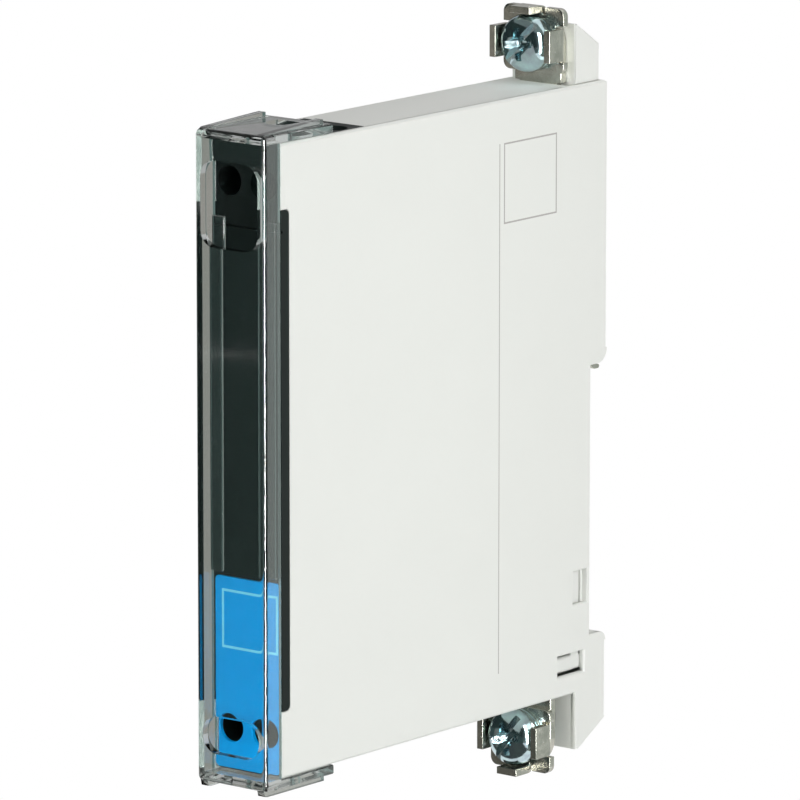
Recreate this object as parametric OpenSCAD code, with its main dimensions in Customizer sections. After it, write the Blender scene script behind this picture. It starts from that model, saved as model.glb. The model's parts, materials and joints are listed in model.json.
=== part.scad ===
// Slim safety barrier for a 35 mm mounting rail: a two-part housing, a terminal block with
// rising-cage terminals, a clear front cover, earth screws with claw washers, and a sprung rail latch.
// Origin at the middle of the rail seat. +Z up, the front faces -Y, +X to the right. Millimetres.

/* [Housing] */
// Width of the housing along the rail
housing_w = 12; // [11.5:0.1:14]
// Height of the housing's top edge above the middle of the rail
top_rise = 57; // [55:0.5:66]
// Height of the housing's lower end below the foot's upper face
latch_room_h = 7.8; // [6.8:0.1:10]
// Reach of the side walls in front of the rail seat
front_reach = 66.4; // [62:0.2:80]
// Thickness of the two side walls
side_wall_t = 0.8; // [0.6:0.05:0.9]
// Thickness of the top, bottom and rear walls
rim_t = 1; // [0.8:0.05:1.1]
// Length of the open front end, which the terminal block fills
front_open_len = 18.4; // [18:0.1:21]
// Corner radius at the rear top
corner_r = 1; // [0.5:0.1:1.5]
// Corner radius under the rear nose
nose_r = 2; // [1:0.1:2.2]
// Width of the chamfer on the outer edges of the sides
edge_break = 0.3; // [0.1:0.05:0.4]

/* [Rail seat] */
// Height of the mounting rail across its flanges
rail_h = 35; // [35:0.1:35.4]
// Play between the rail's upper edge and the nose above it
rail_play = 0.2; // [0.1:0.05:0.4]
// Reach of the nose and the foot behind the rail seat
nose_reach = 3.7; // [3.4:0.1:4.5]
// Gap between the rail's lower edge and the foot
foot_gap = 2.8; // [2.6:0.1:4]
// Depth of the relief at both ends of the rail seat
seat_relief = 0.3; // [0.2:0.05:0.5]

/* [Foot and tab] */
// Drop of the foot below the housing's lower edge
foot_drop = 8; // [7:0.1:10]
// Length of the foot in front of the rail seat
foot_len = 3; // [2.6:0.1:3.2]
// Depth of the chamfer under the foot
foot_chamfer_y = 6.1; // [4:0.1:6.3]
// Height of the chamfer under the foot
foot_chamfer_z = 3.6; // [2:0.1:4]
// Corner radius at the rear top of the foot
foot_r = 1.3; // [0.8:0.1:1.6]
// Rise of the upper tab above the housing's top
tab_rise = 8.3; // [7:0.1:9]
// Inset of the upper tab from each side
tab_inset = 0.6; // [0.3:0.1:1]
// Setback of the upper tab from the rear of the nose
tab_setback = 1.3; // [0.8:0.1:1.5]
// Depth of the chamfer on the upper tab
tab_chamfer_y = 4.9; // [3:0.1:5]
// Height of the chamfer on the upper tab
tab_chamfer_z = 3.2; // [2:0.1:4]

/* [Side windows and front strip] */
// Reach of the upper side window in front of the rail seat
stem_window_y = 3.5; // [3:0.1:4]
// Length of the upper side window along the housing's depth
stem_window_l = 2.9; // [2:0.1:3]
// Height of the upper side window
stem_window_h = 4.6; // [3:0.1:5]
// Drop of the upper side window's lower edge below the rail's middle
stem_window_z = 15.5; // [14:0.1:16]
// Reach of the lower side window in front of the rail seat
pry_window_y = 6.9; // [6:0.1:7.5]
// Length of the lower side window along the housing's depth
pry_window_l = 5.8; // [4:0.1:6]
// Height of the lower side window
pry_window_h = 3.1; // [2.5:0.1:3.4]
// Depth of the cut-away strip at the front of both sides
strip_l = 1.75; // [1.2:0.05:2]
// Distance from the housing's lower edge to the strip
strip_foot = 9; // [8.6:0.1:11]
// Distance from the housing's top edge to the strip
strip_head = 8.7; // [8.3:0.1:11]
// Corner radius of the strip
strip_r = 0.7; // [0.3:0.1:0.8]
// Distance of the block's seam groove below the strip's upper end
seam_drop = 2.8; // [1.5:0.1:4]
// Width and depth of the block's seam groove
seam_w = 0.3; // [0.2:0.05:0.4]

/* [Terminals] */
// Distance of the terminals from the housing's top and lower edge
term_inset = 5.7; // [5.5:0.1:6]
// Gap between a terminal cage and the housing's side wall
cage_play = 0.5; // [0.4:0.05:0.7]
// Diameter of the screwdriver access holes
access_d = 4; // [3.8:0.05:4.2]
// Radial gap round the terminal screw's head in its access hole
head_gap = 0.2; // [0.1:0.05:0.4]
// Height of the terminal screw's head
term_head_h = 1.6; // [1.2:0.1:2]
// Thread diameter of the terminal screw
term_thread_d = 2.5; // [2.4:0.05:2.6]
// Thickness of the web behind the screw head
term_web_t = 0.5; // [0.4:0.05:0.8]
// Width of a terminal cage
cage_w = 3.8; // [3.6:0.05:4]
// Height of a terminal cage
cage_h = 4; // [3.6:0.1:4.2]
// Thickness of the cage's threaded front wall
cage_front_t = 1.2; // [1:0.1:1.5]
// Thickness of the cage's rear wall
cage_rear_t = 1; // [0.8:0.1:1.2]
// Thickness of the cage's side walls
cage_side_t = 0.55; // [0.45:0.05:0.6]
// Width of the wire gap in an open cage
wire_gap = 3; // [2.8:0.1:3.2]
// Wire gap left when the cage is closed
wire_gap_closed = 0.4; // [0.2:0.1:0.8]
// Diameter of the wire entry holes
wire_d = 2.6; // [2.3:0.1:2.7]
// Diameter of the wire entry's funnel mouth
funnel_d = 4; // [3.2:0.1:4.1]
// Depth of the wire entry's funnel
funnel_h = 1; // [0.5:0.1:1.2]
// Thickness of the contact bars
bar_t = 0.8; // [0.6:0.05:1]
// Width of the contact bars
bar_w = 2.2; // [1.8:0.1:2.4]
// Length of the contact bars past the cage
bar_tail = 2.4; // [2:0.1:3]
// Width of the slot in the terminal screw's head
term_slot_w = 0.6; // [0.4:0.1:0.8]
// Depth of the slot in the terminal screw's head
term_slot_depth = 0.8; // [0.5:0.1:1]
// Thickness of the terminal block's rear wall
block_rear_t = 1.1; // [0.9:0.1:1.3]

/* [Front cover] */
// Thickness of the cover's front plate
cover_t = 1.2; // [1:0.1:1.5]
// Depth of the cover in front of the housing
cover_l = 3.4; // [2.9:0.1:4]
// Thickness of the cover's side walls
cover_side_t = 0.9; // [0.8:0.1:1.1]
// Radius of the cover's front edges
cover_r = 0.8; // [0.4:0.1:1]
// Thickness of the cover's tongues
tongue_t = 1.3; // [1:0.1:1.5]
// Length of the tongues along the housing
tongue_l = 10.9; // [9:0.1:11]
// Height of the ribs on the tongues
rib_h = 0.7; // [0.4:0.1:0.8]
// Width of the ribs on the tongues
rib_w = 1.2; // [0.8:0.1:1.4]
// Inset of the ribs from the tongue's sides
rib_inset = 0.5; // [0.3:0.1:0.8]
// Distance of the ribs' front end from the cover's front
rib_front = 0.3; // [0.1:0.1:2]
// Distance of the ribs' rear end from the tongue's end
rib_rear = 1.6; // [1:0.1:2]
// Distance of the cover's windows from its sides
cover_window_side = 1.1; // [0.9:0.1:1.5]
// Height of the upper window in the cover
cover_window_h = 11.6; // [10:0.1:12]
// Distance of the upper window's middle below the terminals
cover_window_drop = 2.7; // [2:0.1:3]
// Corner radius of the upper window
cover_window_r = 2.3; // [1.5:0.1:2.6]
// Height of the lower, stadium-shaped window
cover_slot_h = 5.1; // [4.6:0.1:5.2]
// Distance of the lower window's middle below the terminals
cover_slot_drop = 0.45; // [0.2:0.05:0.6]
// Width of the two label rails inside the cover
label_rail_w = 2; // [1.5:0.1:2.2]
// Thickness of the label rails
label_rail_t = 1; // [0.8:0.05:1.05]
// Distance of the label rails' lower end from the housing's lower edge
label_rail_foot = 27; // [26:0.5:29]
// Distance of the label rails' upper end from the housing's top edge
label_rail_head = 10.4; // [9:0.2:12]
// Distance of the catch windows behind the block's front
catch_setback = 5; // [4.6:0.1:5.6]
// Width of the catch window in each tongue
catch_w = 3.2; // [2.4:0.1:3.4]
// Length of the catch window in each tongue
catch_l = 3.4; // [2.6:0.1:3.6]

/* [Marking plate] */
// Height of the marking plate
plate_h = 26; // [24:0.5:27]
// Thickness of the marking plate
plate_t = 0.6; // [0.4:0.1:0.8]
// Lift of the marking plate above the housing's lower edge
plate_lift = 0.3; // [0.2:0.05:0.6]
// Corner radius of the marking plate
plate_r = 0.6; // [0.3:0.1:1]

/* [Earth parts] */
// Thickness of the earth bar
earth_t = 1.2; // [1:0.05:1.25]
// Gap between the earth bar and the latch stems
earth_gap = 0.3; // [0.2:0.05:0.6]
// Width of the upper lug
lug_top_w = 8; // [7.6:0.1:8.6]
// Width of the lower lug
lug_bottom_w = 9; // [8:0.1:9.4]
// Height of the upper earth screw above the housing's top
lug_rise = 5.7; // [5.6:0.1:6.2]
// Drop of the lower earth screw below the housing's lower edge
lug_drop = 5.9; // [5.8:0.1:6.3]
// Forward step of the lower lug from the upper lug
lug_step = 2.4; // [2.2:0.1:2.6]
// Thread diameter of the earth screws
earth_thread_d = 4; // [3.8:0.1:4]
// Head diameter of the earth screws
earth_head_d = 8; // [7.4:0.1:8.2]
// Head height of the earth screws
earth_head_h = 2.8; // [2.2:0.1:3]
// Height of the domed crown on the earth screws' heads
crown_h = 1; // [0.5:0.1:1.2]
// Edge radius of the earth screws' heads
head_r = 1; // [0.6:0.1:1.4]
// Span of the cross recess in the earth screws
cross_span = 4.6; // [4:0.1:5]
// Width of the cross recess in the earth screws
cross_w = 1.1; // [0.8:0.1:1.3]
// Depth of the cross recess in the earth screws
cross_depth = 1.4; // [1:0.1:1.6]
// Width of the long slot in the earth screws
slot_w = 1; // [0.8:0.1:1.2]
// Depth of the long slot in the earth screws
slot_depth = 0.8; // [0.5:0.1:1]
// Length of the earth screws under the head
earth_screw_l = 4.8; // [4.4:0.1:5.2]
// Thickness of the clamp washers
washer_t = 1; // [0.8:0.05:1.1]
// Width of the clamp washers over their claws
washer_w = 10.4; // [10.2:0.1:11.2]
// Distance of the clamp washers' straight inner edge from the screw's axis
washer_drop = 4.1; // [3.6:0.1:4.4]
// Corner radius of the clamp washers' plate
washer_r = 1.1; // [0.8:0.1:1.4]
// Outer radius of the bend at the root of each claw
claw_bend_r = 1.4; // [1.2:0.1:1.8]
// Width of the claws at the washers' sides
claw_w = 4.4; // [4:0.1:4.8]
// Width of the claw at each washer's outer end
end_claw_w = 3.4; // [3:0.1:4]
// Width of the relief slits beside the claws
claw_slit = 0.3; // [0.2:0.05:0.4]
// Length of the claws from the back of the washer
claw_l = 4.1; // [3.6:0.1:4.6]
// Thickness of the spring washers
spring_washer_t = 0.9; // [0.7:0.05:1]
// Outer diameter of the spring washers
spring_washer_d = 7.6; // [7:0.1:7.9]

/* [Rail hook and latch] */
// Thickness of the rail hook's sheet
hook_t = 0.6; // [0.5:0.05:0.7]
// Gap between the rail hook and the housing's side walls
hook_side_gap = 0.2; // [0.1:0.05:0.5]
// Gap between the rail seat and the hook
hook_gap = 1.4; // [1.2:0.1:1.5]
// Grip of the hook behind the rail's upper edge
hook_grip = 0.8; // [0.6:0.1:1]
// Grip of the latch behind the rail's lower edge
latch_grip = 1; // [0.7:0.1:1.2]
// Gap between the rail seat and the latch nose
latch_gap = 1.3; // [1.2:0.05:1.4]
// Travel of the latch
latch_travel = 1.9; // [1.3:0.1:2]
// Width of the latch nose
latch_nose_w = 6.4; // [5:0.1:6.6]
// Height of the latch's cross bar and arms
latch_bar_h = 2.2; // [1.8:0.1:2.3]
// Thickness of the latch bars
latch_bar_t = 1.6; // [1.3:0.1:1.7]
// Depth of the latch stems
latch_stem_l = 1.8; // [1.4:0.1:2]
// Drop of the latch spring's seat below the middle of the rail
spring_drop = 14; // [13:0.1:14.4]
// Wire diameter of the latch spring
spring_wire_d = 0.35; // [0.3:0.05:0.4]
// Outer diameter of the latch spring
spring_d = 3.4; // [3:0.1:3.6]
// Number of turns of the latch spring
spring_turns = 6; // [4:1:7]
// Length of the latch spring as fitted
spring_l = 6.5; // [6:0.1:7.5]

/* [Circuit] */
// Gap between the terminal block and the circuit board
board_gap = 0.5; // [0.3:0.1:0.8]
// Thickness of the circuit board
board_t = 1.6; // [1.2:0.1:1.6]
// Gap between the circuit board and the earth bar
board_rear_gap = 2.3; // [1:0.1:6]
// Body diameter of the fuses
fuse_d = 3.4; // [3:0.1:3.6]
// Body length of the fuses
fuse_l = 12; // [10:0.5:14]
// Body diameter of the zener diodes
diode_d = 3.2; // [2.6:0.1:3.6]
// Body length of the zener diodes
diode_l = 8; // [6:0.5:9]
// Body diameter of the resistors
resistor_d = 2.9; // [2.4:0.1:3.4]
// Body length of the resistors
resistor_l = 8.5; // [7:0.5:10]
// Diameter of the component leads
lead_d = 0.7; // [0.6:0.05:0.8]

/* [Fits] */
// Clearance between moulded parts
fit_gap = 0.1; // [0.05:0.01:0.12]
// Radial clearance of the screws in their threads
thread_gap = 0.05; // [0.03:0.01:0.08]

/* [Hidden] */

$fn = 48;
over = 1;

// Housing
half_w = housing_w / 2;
inner_x = half_w - side_wall_t;
top_z = top_rise;
front_y = -front_reach;
open_y = front_y + front_open_len;
nose_z = rail_h / 2 + rail_play;
foot_z = -rail_h / 2 - foot_gap;
bottom_z = foot_z - latch_room_h;
foot_bottom_z = bottom_z - foot_drop;
tab_top_z = top_z + tab_rise;
tab_rear_y = nose_reach - tab_setback;
strip_y = front_y + strip_l;
strip_z0 = bottom_z + strip_foot;
strip_z1 = top_z - strip_head;

// Earth bar and the screws' places
lug_top_y = -foot_len - fit_gap - earth_t;
lug_bottom_y = lug_top_y - lug_step;
lug_top_z = top_z + lug_rise;
lug_bottom_z = bottom_z - lug_drop;
earth_joggle_z = 8;
tip_room = 0.4;

// Claws of a clamp washer as [turn about the screw's axis, width]
CLAWS = [[0, end_claw_w], [90, claw_w], [270, claw_w]];

// Terminal block, and each terminal's stack from the block's rear wall forward
term_head_d = access_d - 2 * head_gap;
block_x = inner_x - fit_gap;
block_y0 = front_y + fit_gap;
block_y1 = open_y - fit_gap;
chamber_y1 = block_y1 - block_rear_t;
cage_travel = wire_gap - wire_gap_closed;
bar_gap = 0.3;
cage_l = cage_front_t + bar_gap + bar_t + wire_gap + cage_rear_t;
cage_y1 = chamber_y1 - fit_gap;
cage_y0 = cage_y1 - cage_l;
chamber_y0 = cage_y0 - cage_travel - fit_gap;
bar_y0 = cage_y0 + cage_front_t + bar_gap;
wire_y = bar_y0 + bar_t + wire_gap / 2;
term_head_y1 = chamber_y0 - term_web_t - fit_gap;
term_head_y0 = term_head_y1 - term_head_h;
term_x = inner_x - cage_play - cage_w / 2;
term_z1 = top_z - term_inset;
term_z0 = bottom_z + term_inset;
chamber_h = cage_h + 4 * fit_gap;
bar_run = cage_h / 2 + bar_tail;
bar_foot_l = 3;
core_wall = 1.2;
catch_y = block_y0 + catch_setback;
catch_depth = 1.5;
trough_r = 2;
trough_depth = 0.3;

// Every terminal as [side along X, middle height, direction towards its edge of the housing]
TERMINALS = [[-1, term_z1, 1], [1, term_z1, 1], [-1, term_z0, -1], [1, term_z0, -1]];

// Front cover
cover_y0 = front_y - cover_l;
cover_y1 = front_y - fit_gap;
cover_z1 = top_z + fit_gap + tongue_t;
cover_z0 = bottom_z - fit_gap - tongue_t;
tongue_y1 = front_y + tongue_l;
cover_window_z = term_z1 - cover_window_drop;
cover_slot_z = term_z0 - cover_slot_drop;

// Rail latch
latch_tip_z = -rail_h / 2 + latch_grip;
latch_bar_z0 = bottom_z + rim_t + latch_travel + 2 * fit_gap;
latch_bar_z1 = latch_bar_z0 + latch_bar_h;
latch_nose_y1 = nose_reach - rim_t - 2 * fit_gap;
latch_x1 = inner_x - fit_gap;
latch_x0 = latch_x1 - latch_bar_t;
earth_x = latch_x0 - earth_gap;
stem_y1 = -rim_t - fit_gap;
stem_y0 = stem_y1 - latch_stem_l;
arm_y0 = -pry_window_y + 4 * fit_gap;
pry_window_gap = 0.3;
pry_window_z = latch_bar_z0 - pry_window_gap;
nose_slope_h = 1.6;
nose_tip_t = 0.2;
spring_z0 = -spring_drop;
spring_z1 = spring_z0 + spring_l;
spring_y = -rim_t - 5 * fit_gap - spring_d / 2;
shelf_t = 1.2;
spigot_h = 1.5;
bridge_t = 1.5;
coil_steps = 20;
coil_sides = 8;

// Rail hook
hook_x = inner_x - hook_side_gap;
hook_run_z = nose_z + rim_t + 2;
hook_bend_r = hook_t + 0.4;
hook_flange_h = 6;
rivet_x = 2;
rivet_z = 3.6;
rivet_d = 1.6;

// Circuit board, and each part on it as [distance from the board's front edge, height]
board_y0 = block_y1 + board_gap;
board_y1 = lug_bottom_y - board_rear_gap;
board_x = board_t / 2;
guide_h = 1.4;
guide_t = 0.8;
guide_inset_front = 4;
guide_inset_rear = 6;
guide_y0 = board_y0 + guide_inset_front;
guide_y1 = board_y1 - guide_inset_rear;
FUSES = [[9, 36], [9, -6]];
DIODES = [[20, 34], [28, 34], [20, 2], [28, 2]];
RESISTORS = [[12, 36], [24, 36], [12, -4], [24, -4]];
lead_foot = 1.6;
solder_h = 0.6;

// Locating tabs on the lid, by where each begins
lid_tab_l = 8;
lid_tab_inset_front = 6;
lid_tab_inset_rear = 5;
LID_TABS = [open_y + lid_tab_inset_front, board_y1 - lid_tab_inset_rear - lid_tab_l];
lid_tab_t = 0.8;
lid_tab_reach = 1.8;

// Extrudes a side view, drawn with depth across and height up, from x0 to x1
module side_view(x0, x1) {
    translate([x0, 0, 0]) rotate([90, 0, 90]) linear_extrude(x1 - x0) children();
}

// Extrudes a front view, drawn with width across and height up, from y0 to y1
module front_view(y0, y1) {
    translate([0, y1, 0]) rotate([90, 0, 0]) linear_extrude(y1 - y0) children();
}

// Rectangle between two corners
module rect(a0, b0, a1, b1) {
    translate([a0, b0]) square([a1 - a0, b1 - b0]);
}

// Rectangle between two corners with round corners
module round_rect(a0, b0, a1, b1, r) {
    rect(a0 + r, b0, a1 - r, b1);
    rect(a0, b0 + r, a1, b1 - r);
    for (a = [a0 + r, a1 - r], b = [b0 + r, b1 - r]) translate([a, b]) circle(r);
}

// Removes a square corner and leaves a quarter circle: the corner at (a, b), the solid towards (da, db)
module corner_cut(a, b, da, db, r) {
    translate([a, b]) scale_sign(da, db) difference() {
        translate([-over, -over]) square(r + over);
        translate([r, r]) circle(r);
    }
}

// Mirrors a first-quadrant drawing into the quadrant with the given signs
module scale_sign(da, db) {
    mirror([da < 0 ? 1 : 0, 0]) mirror([0, db < 0 ? 1 : 0]) children();
}

module box(x0, y0, z0, x1, y1, z1) {
    translate([x0, y0, z0]) cube([x1 - x0, y1 - y0, z1 - z0]);
}

// Cylinder along the depth axis from y0 to y1
module rod_y(x, z, d, y0, y1) {
    translate([x, y0, z]) rotate([-90, 0, 0]) cylinder(d = d, h = y1 - y0);
}

// Cylinder along the height axis from z0 to z1
module rod_z(x, y, d, z0, z1) {
    translate([x, y, z0]) cylinder(d = d, h = z1 - z0);
}

// Side view of the whole housing: body, nose above the rail, and foot below it
module housing_outline() {
    difference() {
        union() {
            rect(front_y, bottom_z, 0, top_z);
            rect(-over, nose_z, nose_reach, top_z);
            rect(-foot_len, foot_bottom_z, nose_reach, foot_z);
        }
        corner_cut(nose_reach, top_z, -1, -1, corner_r);
        corner_cut(nose_reach, nose_z, -1, 1, nose_r);
        corner_cut(nose_reach, foot_z, -1, -1, foot_r);
        foot_chamfer(0);
        strip_outline(0);
    }
}

// The triangle cut off under the foot, moved inwards by an offset
module foot_chamfer(inset) {
    a = nose_reach - inset;
    b = foot_bottom_z + inset;
    polygon([[a + over, b - over], [a - foot_chamfer_y, b - over], [a - foot_chamfer_y, b],
             [a, b + foot_chamfer_z], [a + over, b + foot_chamfer_z]]);
}

// The strip at the front edge where the black block comes out to full width
module strip_outline(inset) {
    difference() {
        rect(front_y - over, strip_z0 + inset, strip_y - inset, strip_z1 - inset);
        corner_cut(strip_y - inset, strip_z0 + inset, -1, 1, strip_r);
        corner_cut(strip_y - inset, strip_z1 - inset, -1, -1, strip_r);
    }
}

// Side view of the hollow inside the housing
module cavity_outline() {
    rect(front_y - over, bottom_z + rim_t, -rim_t, top_z - rim_t);
    rect(-2 * rim_t, nose_z + rim_t, nose_reach - rim_t, top_z - rim_t);
    difference() {
        rect(-foot_len + rim_t, foot_bottom_z + rim_t, nose_reach - rim_t, foot_z - rim_t);
        foot_chamfer(rim_t);
    }
    rect(front_y - over, bottom_z - over, open_y, top_z + over);
}

// Bevels the outer long edges of one side, on the side of positive X
module side_edge_cuts() {
    s = edge_break * sqrt(2);
    for (edge = [[bottom_z, -foot_len], [top_z, nose_reach + over]])
        translate([half_w, front_y - over, edge[0]]) rotate([0, 45, 0])
            translate([-s / 2, 0, -s / 2]) cube([s, edge[1] - front_y + over, s]);
    for (part = [[nose_z + nose_r, top_z], [foot_bottom_z + foot_chamfer_z, foot_z - foot_r]])
        translate([half_w, nose_reach, part[0]]) rotate([0, 0, 45])
            translate([-s / 2, -s / 2, 0]) cube([s, s, part[1] - part[0]]);
}

module housing_shell() color("gainsboro") {
    difference() {
        union() {
            side_view(-half_w, -inner_x) housing_outline();
            side_view(-inner_x, inner_x) difference() {
                housing_outline();
                cavity_outline();
            }
            upper_tab();
        }
        mirror([1, 0, 0]) side_edge_cuts();
        earth_slots();
        hook_slot();
        latch_slot();
        seat_reliefs();
        tab_hollow();
    }
    board_guides();
    spring_shelf();
}

// Hood behind the upper lug, with a chamfered rear top
module upper_tab() {
    side_view(-half_w + tab_inset, half_w - tab_inset) polygon([
        [-foot_len, top_z], [tab_rear_y, top_z], [tab_rear_y, tab_top_z - tab_chamfer_z],
        [tab_rear_y - tab_chamfer_y, tab_top_z], [-foot_len, tab_top_z]]);
}

// Room for the tip of the upper earth screw, and the hollow below it
module tab_hollow() {
    tip_r = earth_thread_d / 2 + tip_room;
    tip_y = lug_top_y + earth_screw_l - washer_t - spring_washer_t + tip_room;
    rod_y(0, lug_top_z, 2 * tip_r, -foot_len - over, tip_y);
    box(-tip_r, -foot_len - over, lug_top_z, tip_r, tip_y, tab_top_z + over);
    box(-half_w + tab_inset + rim_t, -foot_len + rim_t, top_z - rim_t - over,
        half_w - tab_inset - rim_t, tab_rear_y - rim_t, lug_top_z - tip_r - rim_t);
}

// Slots in the top and bottom walls for the necks of the earth bar, open towards the lid
module earth_slots() {
    for (slot = [[lug_top_y, top_z], [lug_bottom_y, bottom_z]])
        box(-earth_x - fit_gap, slot[0] - fit_gap, slot[1] - rim_t - fit_gap,
            inner_x + over, slot[0] + earth_t + fit_gap, slot[1] + rim_t + fit_gap);
}

// Slot under the nose for the rail hook
module hook_slot() {
    box(-hook_x - fit_gap, hook_gap - fit_gap, nose_z - over,
        inner_x + over, hook_gap + hook_t + fit_gap, nose_z + rim_t + over);
}

// Slot on top of the foot for the latch nose
module latch_slot() {
    box(-latch_nose_w / 2 - fit_gap, latch_gap - fit_gap, foot_z - rim_t - over,
        latch_nose_w / 2 + fit_gap, latch_nose_y1 + fit_gap, foot_z + over);
}

// Shallow steps that keep the seat's ends off the rail's edges
module seat_reliefs() {
    box(-inner_x, -seat_relief, rail_h / 2 - hook_grip - fit_gap, inner_x + over, over, nose_z);
    box(-inner_x, -seat_relief, foot_z, inner_x + over, over, latch_tip_z + 3 * fit_gap);
}

// Ribs that hold the circuit board at its upper and lower edges
module board_guides() {
    for (side = [-1, 1]) mirror([side < 0 ? 1 : 0, 0, 0]) {
        x0 = board_x + fit_gap;
        box(x0, guide_y0, top_z - rim_t - guide_h, x0 + guide_t, guide_y1, top_z - rim_t);
        box(x0, guide_y0, bottom_z + rim_t, x0 + guide_t, guide_y1, bottom_z + rim_t + guide_h);
    }
}

// Shelf with a spigot that carries the latch spring
module spring_shelf() {
    box(-latch_x0 + 3 * fit_gap, spring_y - spring_d / 2, spring_z0 - shelf_t,
        latch_x0 - 3 * fit_gap, -rim_t, spring_z0);
    rod_z(0, spring_y, spring_d - 2 * spring_wire_d - 2 * fit_gap, spring_z0, spring_z0 + spigot_h);
}

module housing_lid() color("whitesmoke") {
    difference() {
        side_view(inner_x, half_w) housing_outline();
        side_edge_cuts();
        side_view(inner_x - over, half_w + over) {
            side_window(-stem_window_y, -stem_window_z, stem_window_l, stem_window_h);
            side_window(-pry_window_y, pry_window_z, pry_window_l, pry_window_h);
        }
    }
    lid_tabs();
}

// Window over the latch, by its lower front corner and its size
module side_window(y, z, l, h) {
    translate([y, z]) square([l, h]);
}

// Locating tabs on the lid, inside the top and bottom walls
module lid_tabs() {
    z1 = top_z - rim_t - fit_gap;
    z0 = bottom_z + rim_t + fit_gap;
    for (y = LID_TABS) {
        box(inner_x - lid_tab_reach, y, z1 - lid_tab_t, inner_x, y + lid_tab_l, z1);
        box(inner_x - lid_tab_reach, y, z0, inner_x, y + lid_tab_l, z0 + lid_tab_t);
    }
}

module terminal_block() color([0.11, 0.14, 0.13]) {
    difference() {
        union() {
            box(-block_x, block_y0, bottom_z, block_x, block_y1, top_z);
            side_view(-half_w, half_w) difference() {
                strip_outline(fit_gap);
                rect(front_y - 2 * over, bottom_z, block_y0, top_z);
            }
        }
        for (t = TERMINALS) terminal_cuts(t);
        plate_pocket();
        block_core();
        for (end = [0, 1]) catch_pocket(end);
        box(-half_w - over, block_y0 - over, strip_z1 - seam_drop - seam_w,
            half_w + over, block_y0 + seam_w, strip_z1 - seam_drop);
    }
}

// Everything cut for one terminal: access hole, cage chamber, wire entry and contact bar slot
module terminal_cuts(t) {
    x = t[0] * term_x;
    wall_x = term_x - cage_w / 2 - fit_gap;
    edge_z = t[2] > 0 ? top_z : bottom_z;
    rod_y(x, t[1], access_d, block_y0 - over, term_head_y1 + fit_gap);
    rod_y(x, t[1], term_thread_d + 4 * thread_gap, block_y0, chamber_y0 + over);
    mirror([t[0] < 0 ? 1 : 0, 0, 0]) {
        box(wall_x, chamber_y0, t[1] - chamber_h / 2, half_w + over, chamber_y1, t[1] + chamber_h / 2);
        bar_channel(t, fit_gap);
    }
    translate([x, wire_y, t[1]]) mirror([0, 0, t[2] < 0 ? 1 : 0]) {
        entry_h = abs(edge_z - t[1]);
        cylinder(d = wire_d, h = entry_h + over);
        translate([0, 0, entry_h - funnel_h]) cylinder(d1 = wire_d, d2 = funnel_d, h = funnel_h);
        translate([0, 0, entry_h]) cylinder(d = funnel_d, h = over);
    }
}

// Path of a contact bar on the side of positive X, grown by a clearance
module bar_channel(t, gap) {
    x0 = term_x - bar_w / 2 - gap;
    x1 = term_x + bar_w / 2 + gap;
    translate([0, 0, t[1]]) mirror([0, 0, t[2] < 0 ? 1 : 0]) {
        box(x0, bar_y0 - gap, -bar_run - gap, x1, bar_y0 + bar_t + gap, cage_h / 2 - 2 * fit_gap + gap);
        box(x0, bar_y0 - gap, -bar_run - gap, x1, board_y0 + gap, -bar_run + bar_t + gap);
    }
}

// Shallow pocket for the marking plate
module plate_pocket() {
    box(-block_x - over, block_y0 - over, bottom_z - over, block_x + fit_gap / 2, block_y0 + plate_t,
        bottom_z + plate_lift + plate_h + fit_gap);
}

// Hollow between the upper and the lower terminals, open to the rear
module block_core() {
    margin = bar_t + core_wall;
    box(-block_x + core_wall, strip_y + core_wall, term_z0 + bar_run + margin, block_x - core_wall,
        block_y1 + over, term_z1 - bar_run - margin);
}

// Pocket under the catch window of a tongue
module catch_pocket(end) {
    z = end > 0 ? top_z : bottom_z;
    w = catch_w / 2;
    translate([0, 0, z]) box(-w, catch_y, -catch_depth, w, catch_y + catch_l, catch_depth);
}

module marking_plate() color([0.0, 0.5, 0.75]) {
    x = block_x - fit_gap / 2;
    front_view(block_y0, block_y0 + plate_t) difference() {
        round_rect(-x, bottom_z + plate_lift, x, bottom_z + plate_lift + plate_h, plate_r);
        for (side = [-1, 1]) translate([side * term_x, term_z0]) circle(d = access_d);
    }
}

module front_cover() color([0.85, 0.9, 0.9, 0.35]) {
    difference() {
        union() {
            cover_box();
            tongue(top_z + fit_gap, cover_z1);
            tongue(cover_z0, bottom_z - fit_gap);
            tongue_ribs(cover_z1 - over, cover_z1 + rib_h);
            tongue_ribs(cover_z0 - rib_h, cover_z0 + over);
        }
        cover_hollow();
        front_view(cover_y0 - over, cover_y0 + cover_t + over) cover_windows();
        for (z = [bottom_z, top_z]) catch_window(z);
    }
    label_rails();
}

// Outer box of the cover in front of the housing, with round front edges
module cover_box() {
    translate([0, 0, cover_z0]) linear_extrude(cover_z1 - cover_z0) difference() {
        rect(-half_w, cover_y0, half_w, cover_y1);
        corner_cut(-half_w, cover_y0, 1, 1, cover_r);
        corner_cut(half_w, cover_y0, -1, 1, cover_r);
    }
}

// Flat tongue that lies on the housing's top or bottom
module tongue(z0, z1) {
    box(-half_w, cover_y1 - over, z0, half_w, tongue_y1, z1);
}

// Two ribs along a tongue
module tongue_ribs(z0, z1) {
    x1 = half_w - rib_inset;
    for (side = [0, 1]) mirror([side, 0, 0])
        box(x1 - rib_w, cover_y0 + rib_front, z0, x1, tongue_y1 - rib_rear, z1);
}

// The space behind the cover's front plate, between its side walls
module cover_hollow() {
    x = half_w - cover_side_t;
    box(-x, cover_y0 + cover_t, bottom_z - fit_gap, x, cover_y1 + over, top_z + fit_gap);
}

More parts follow.
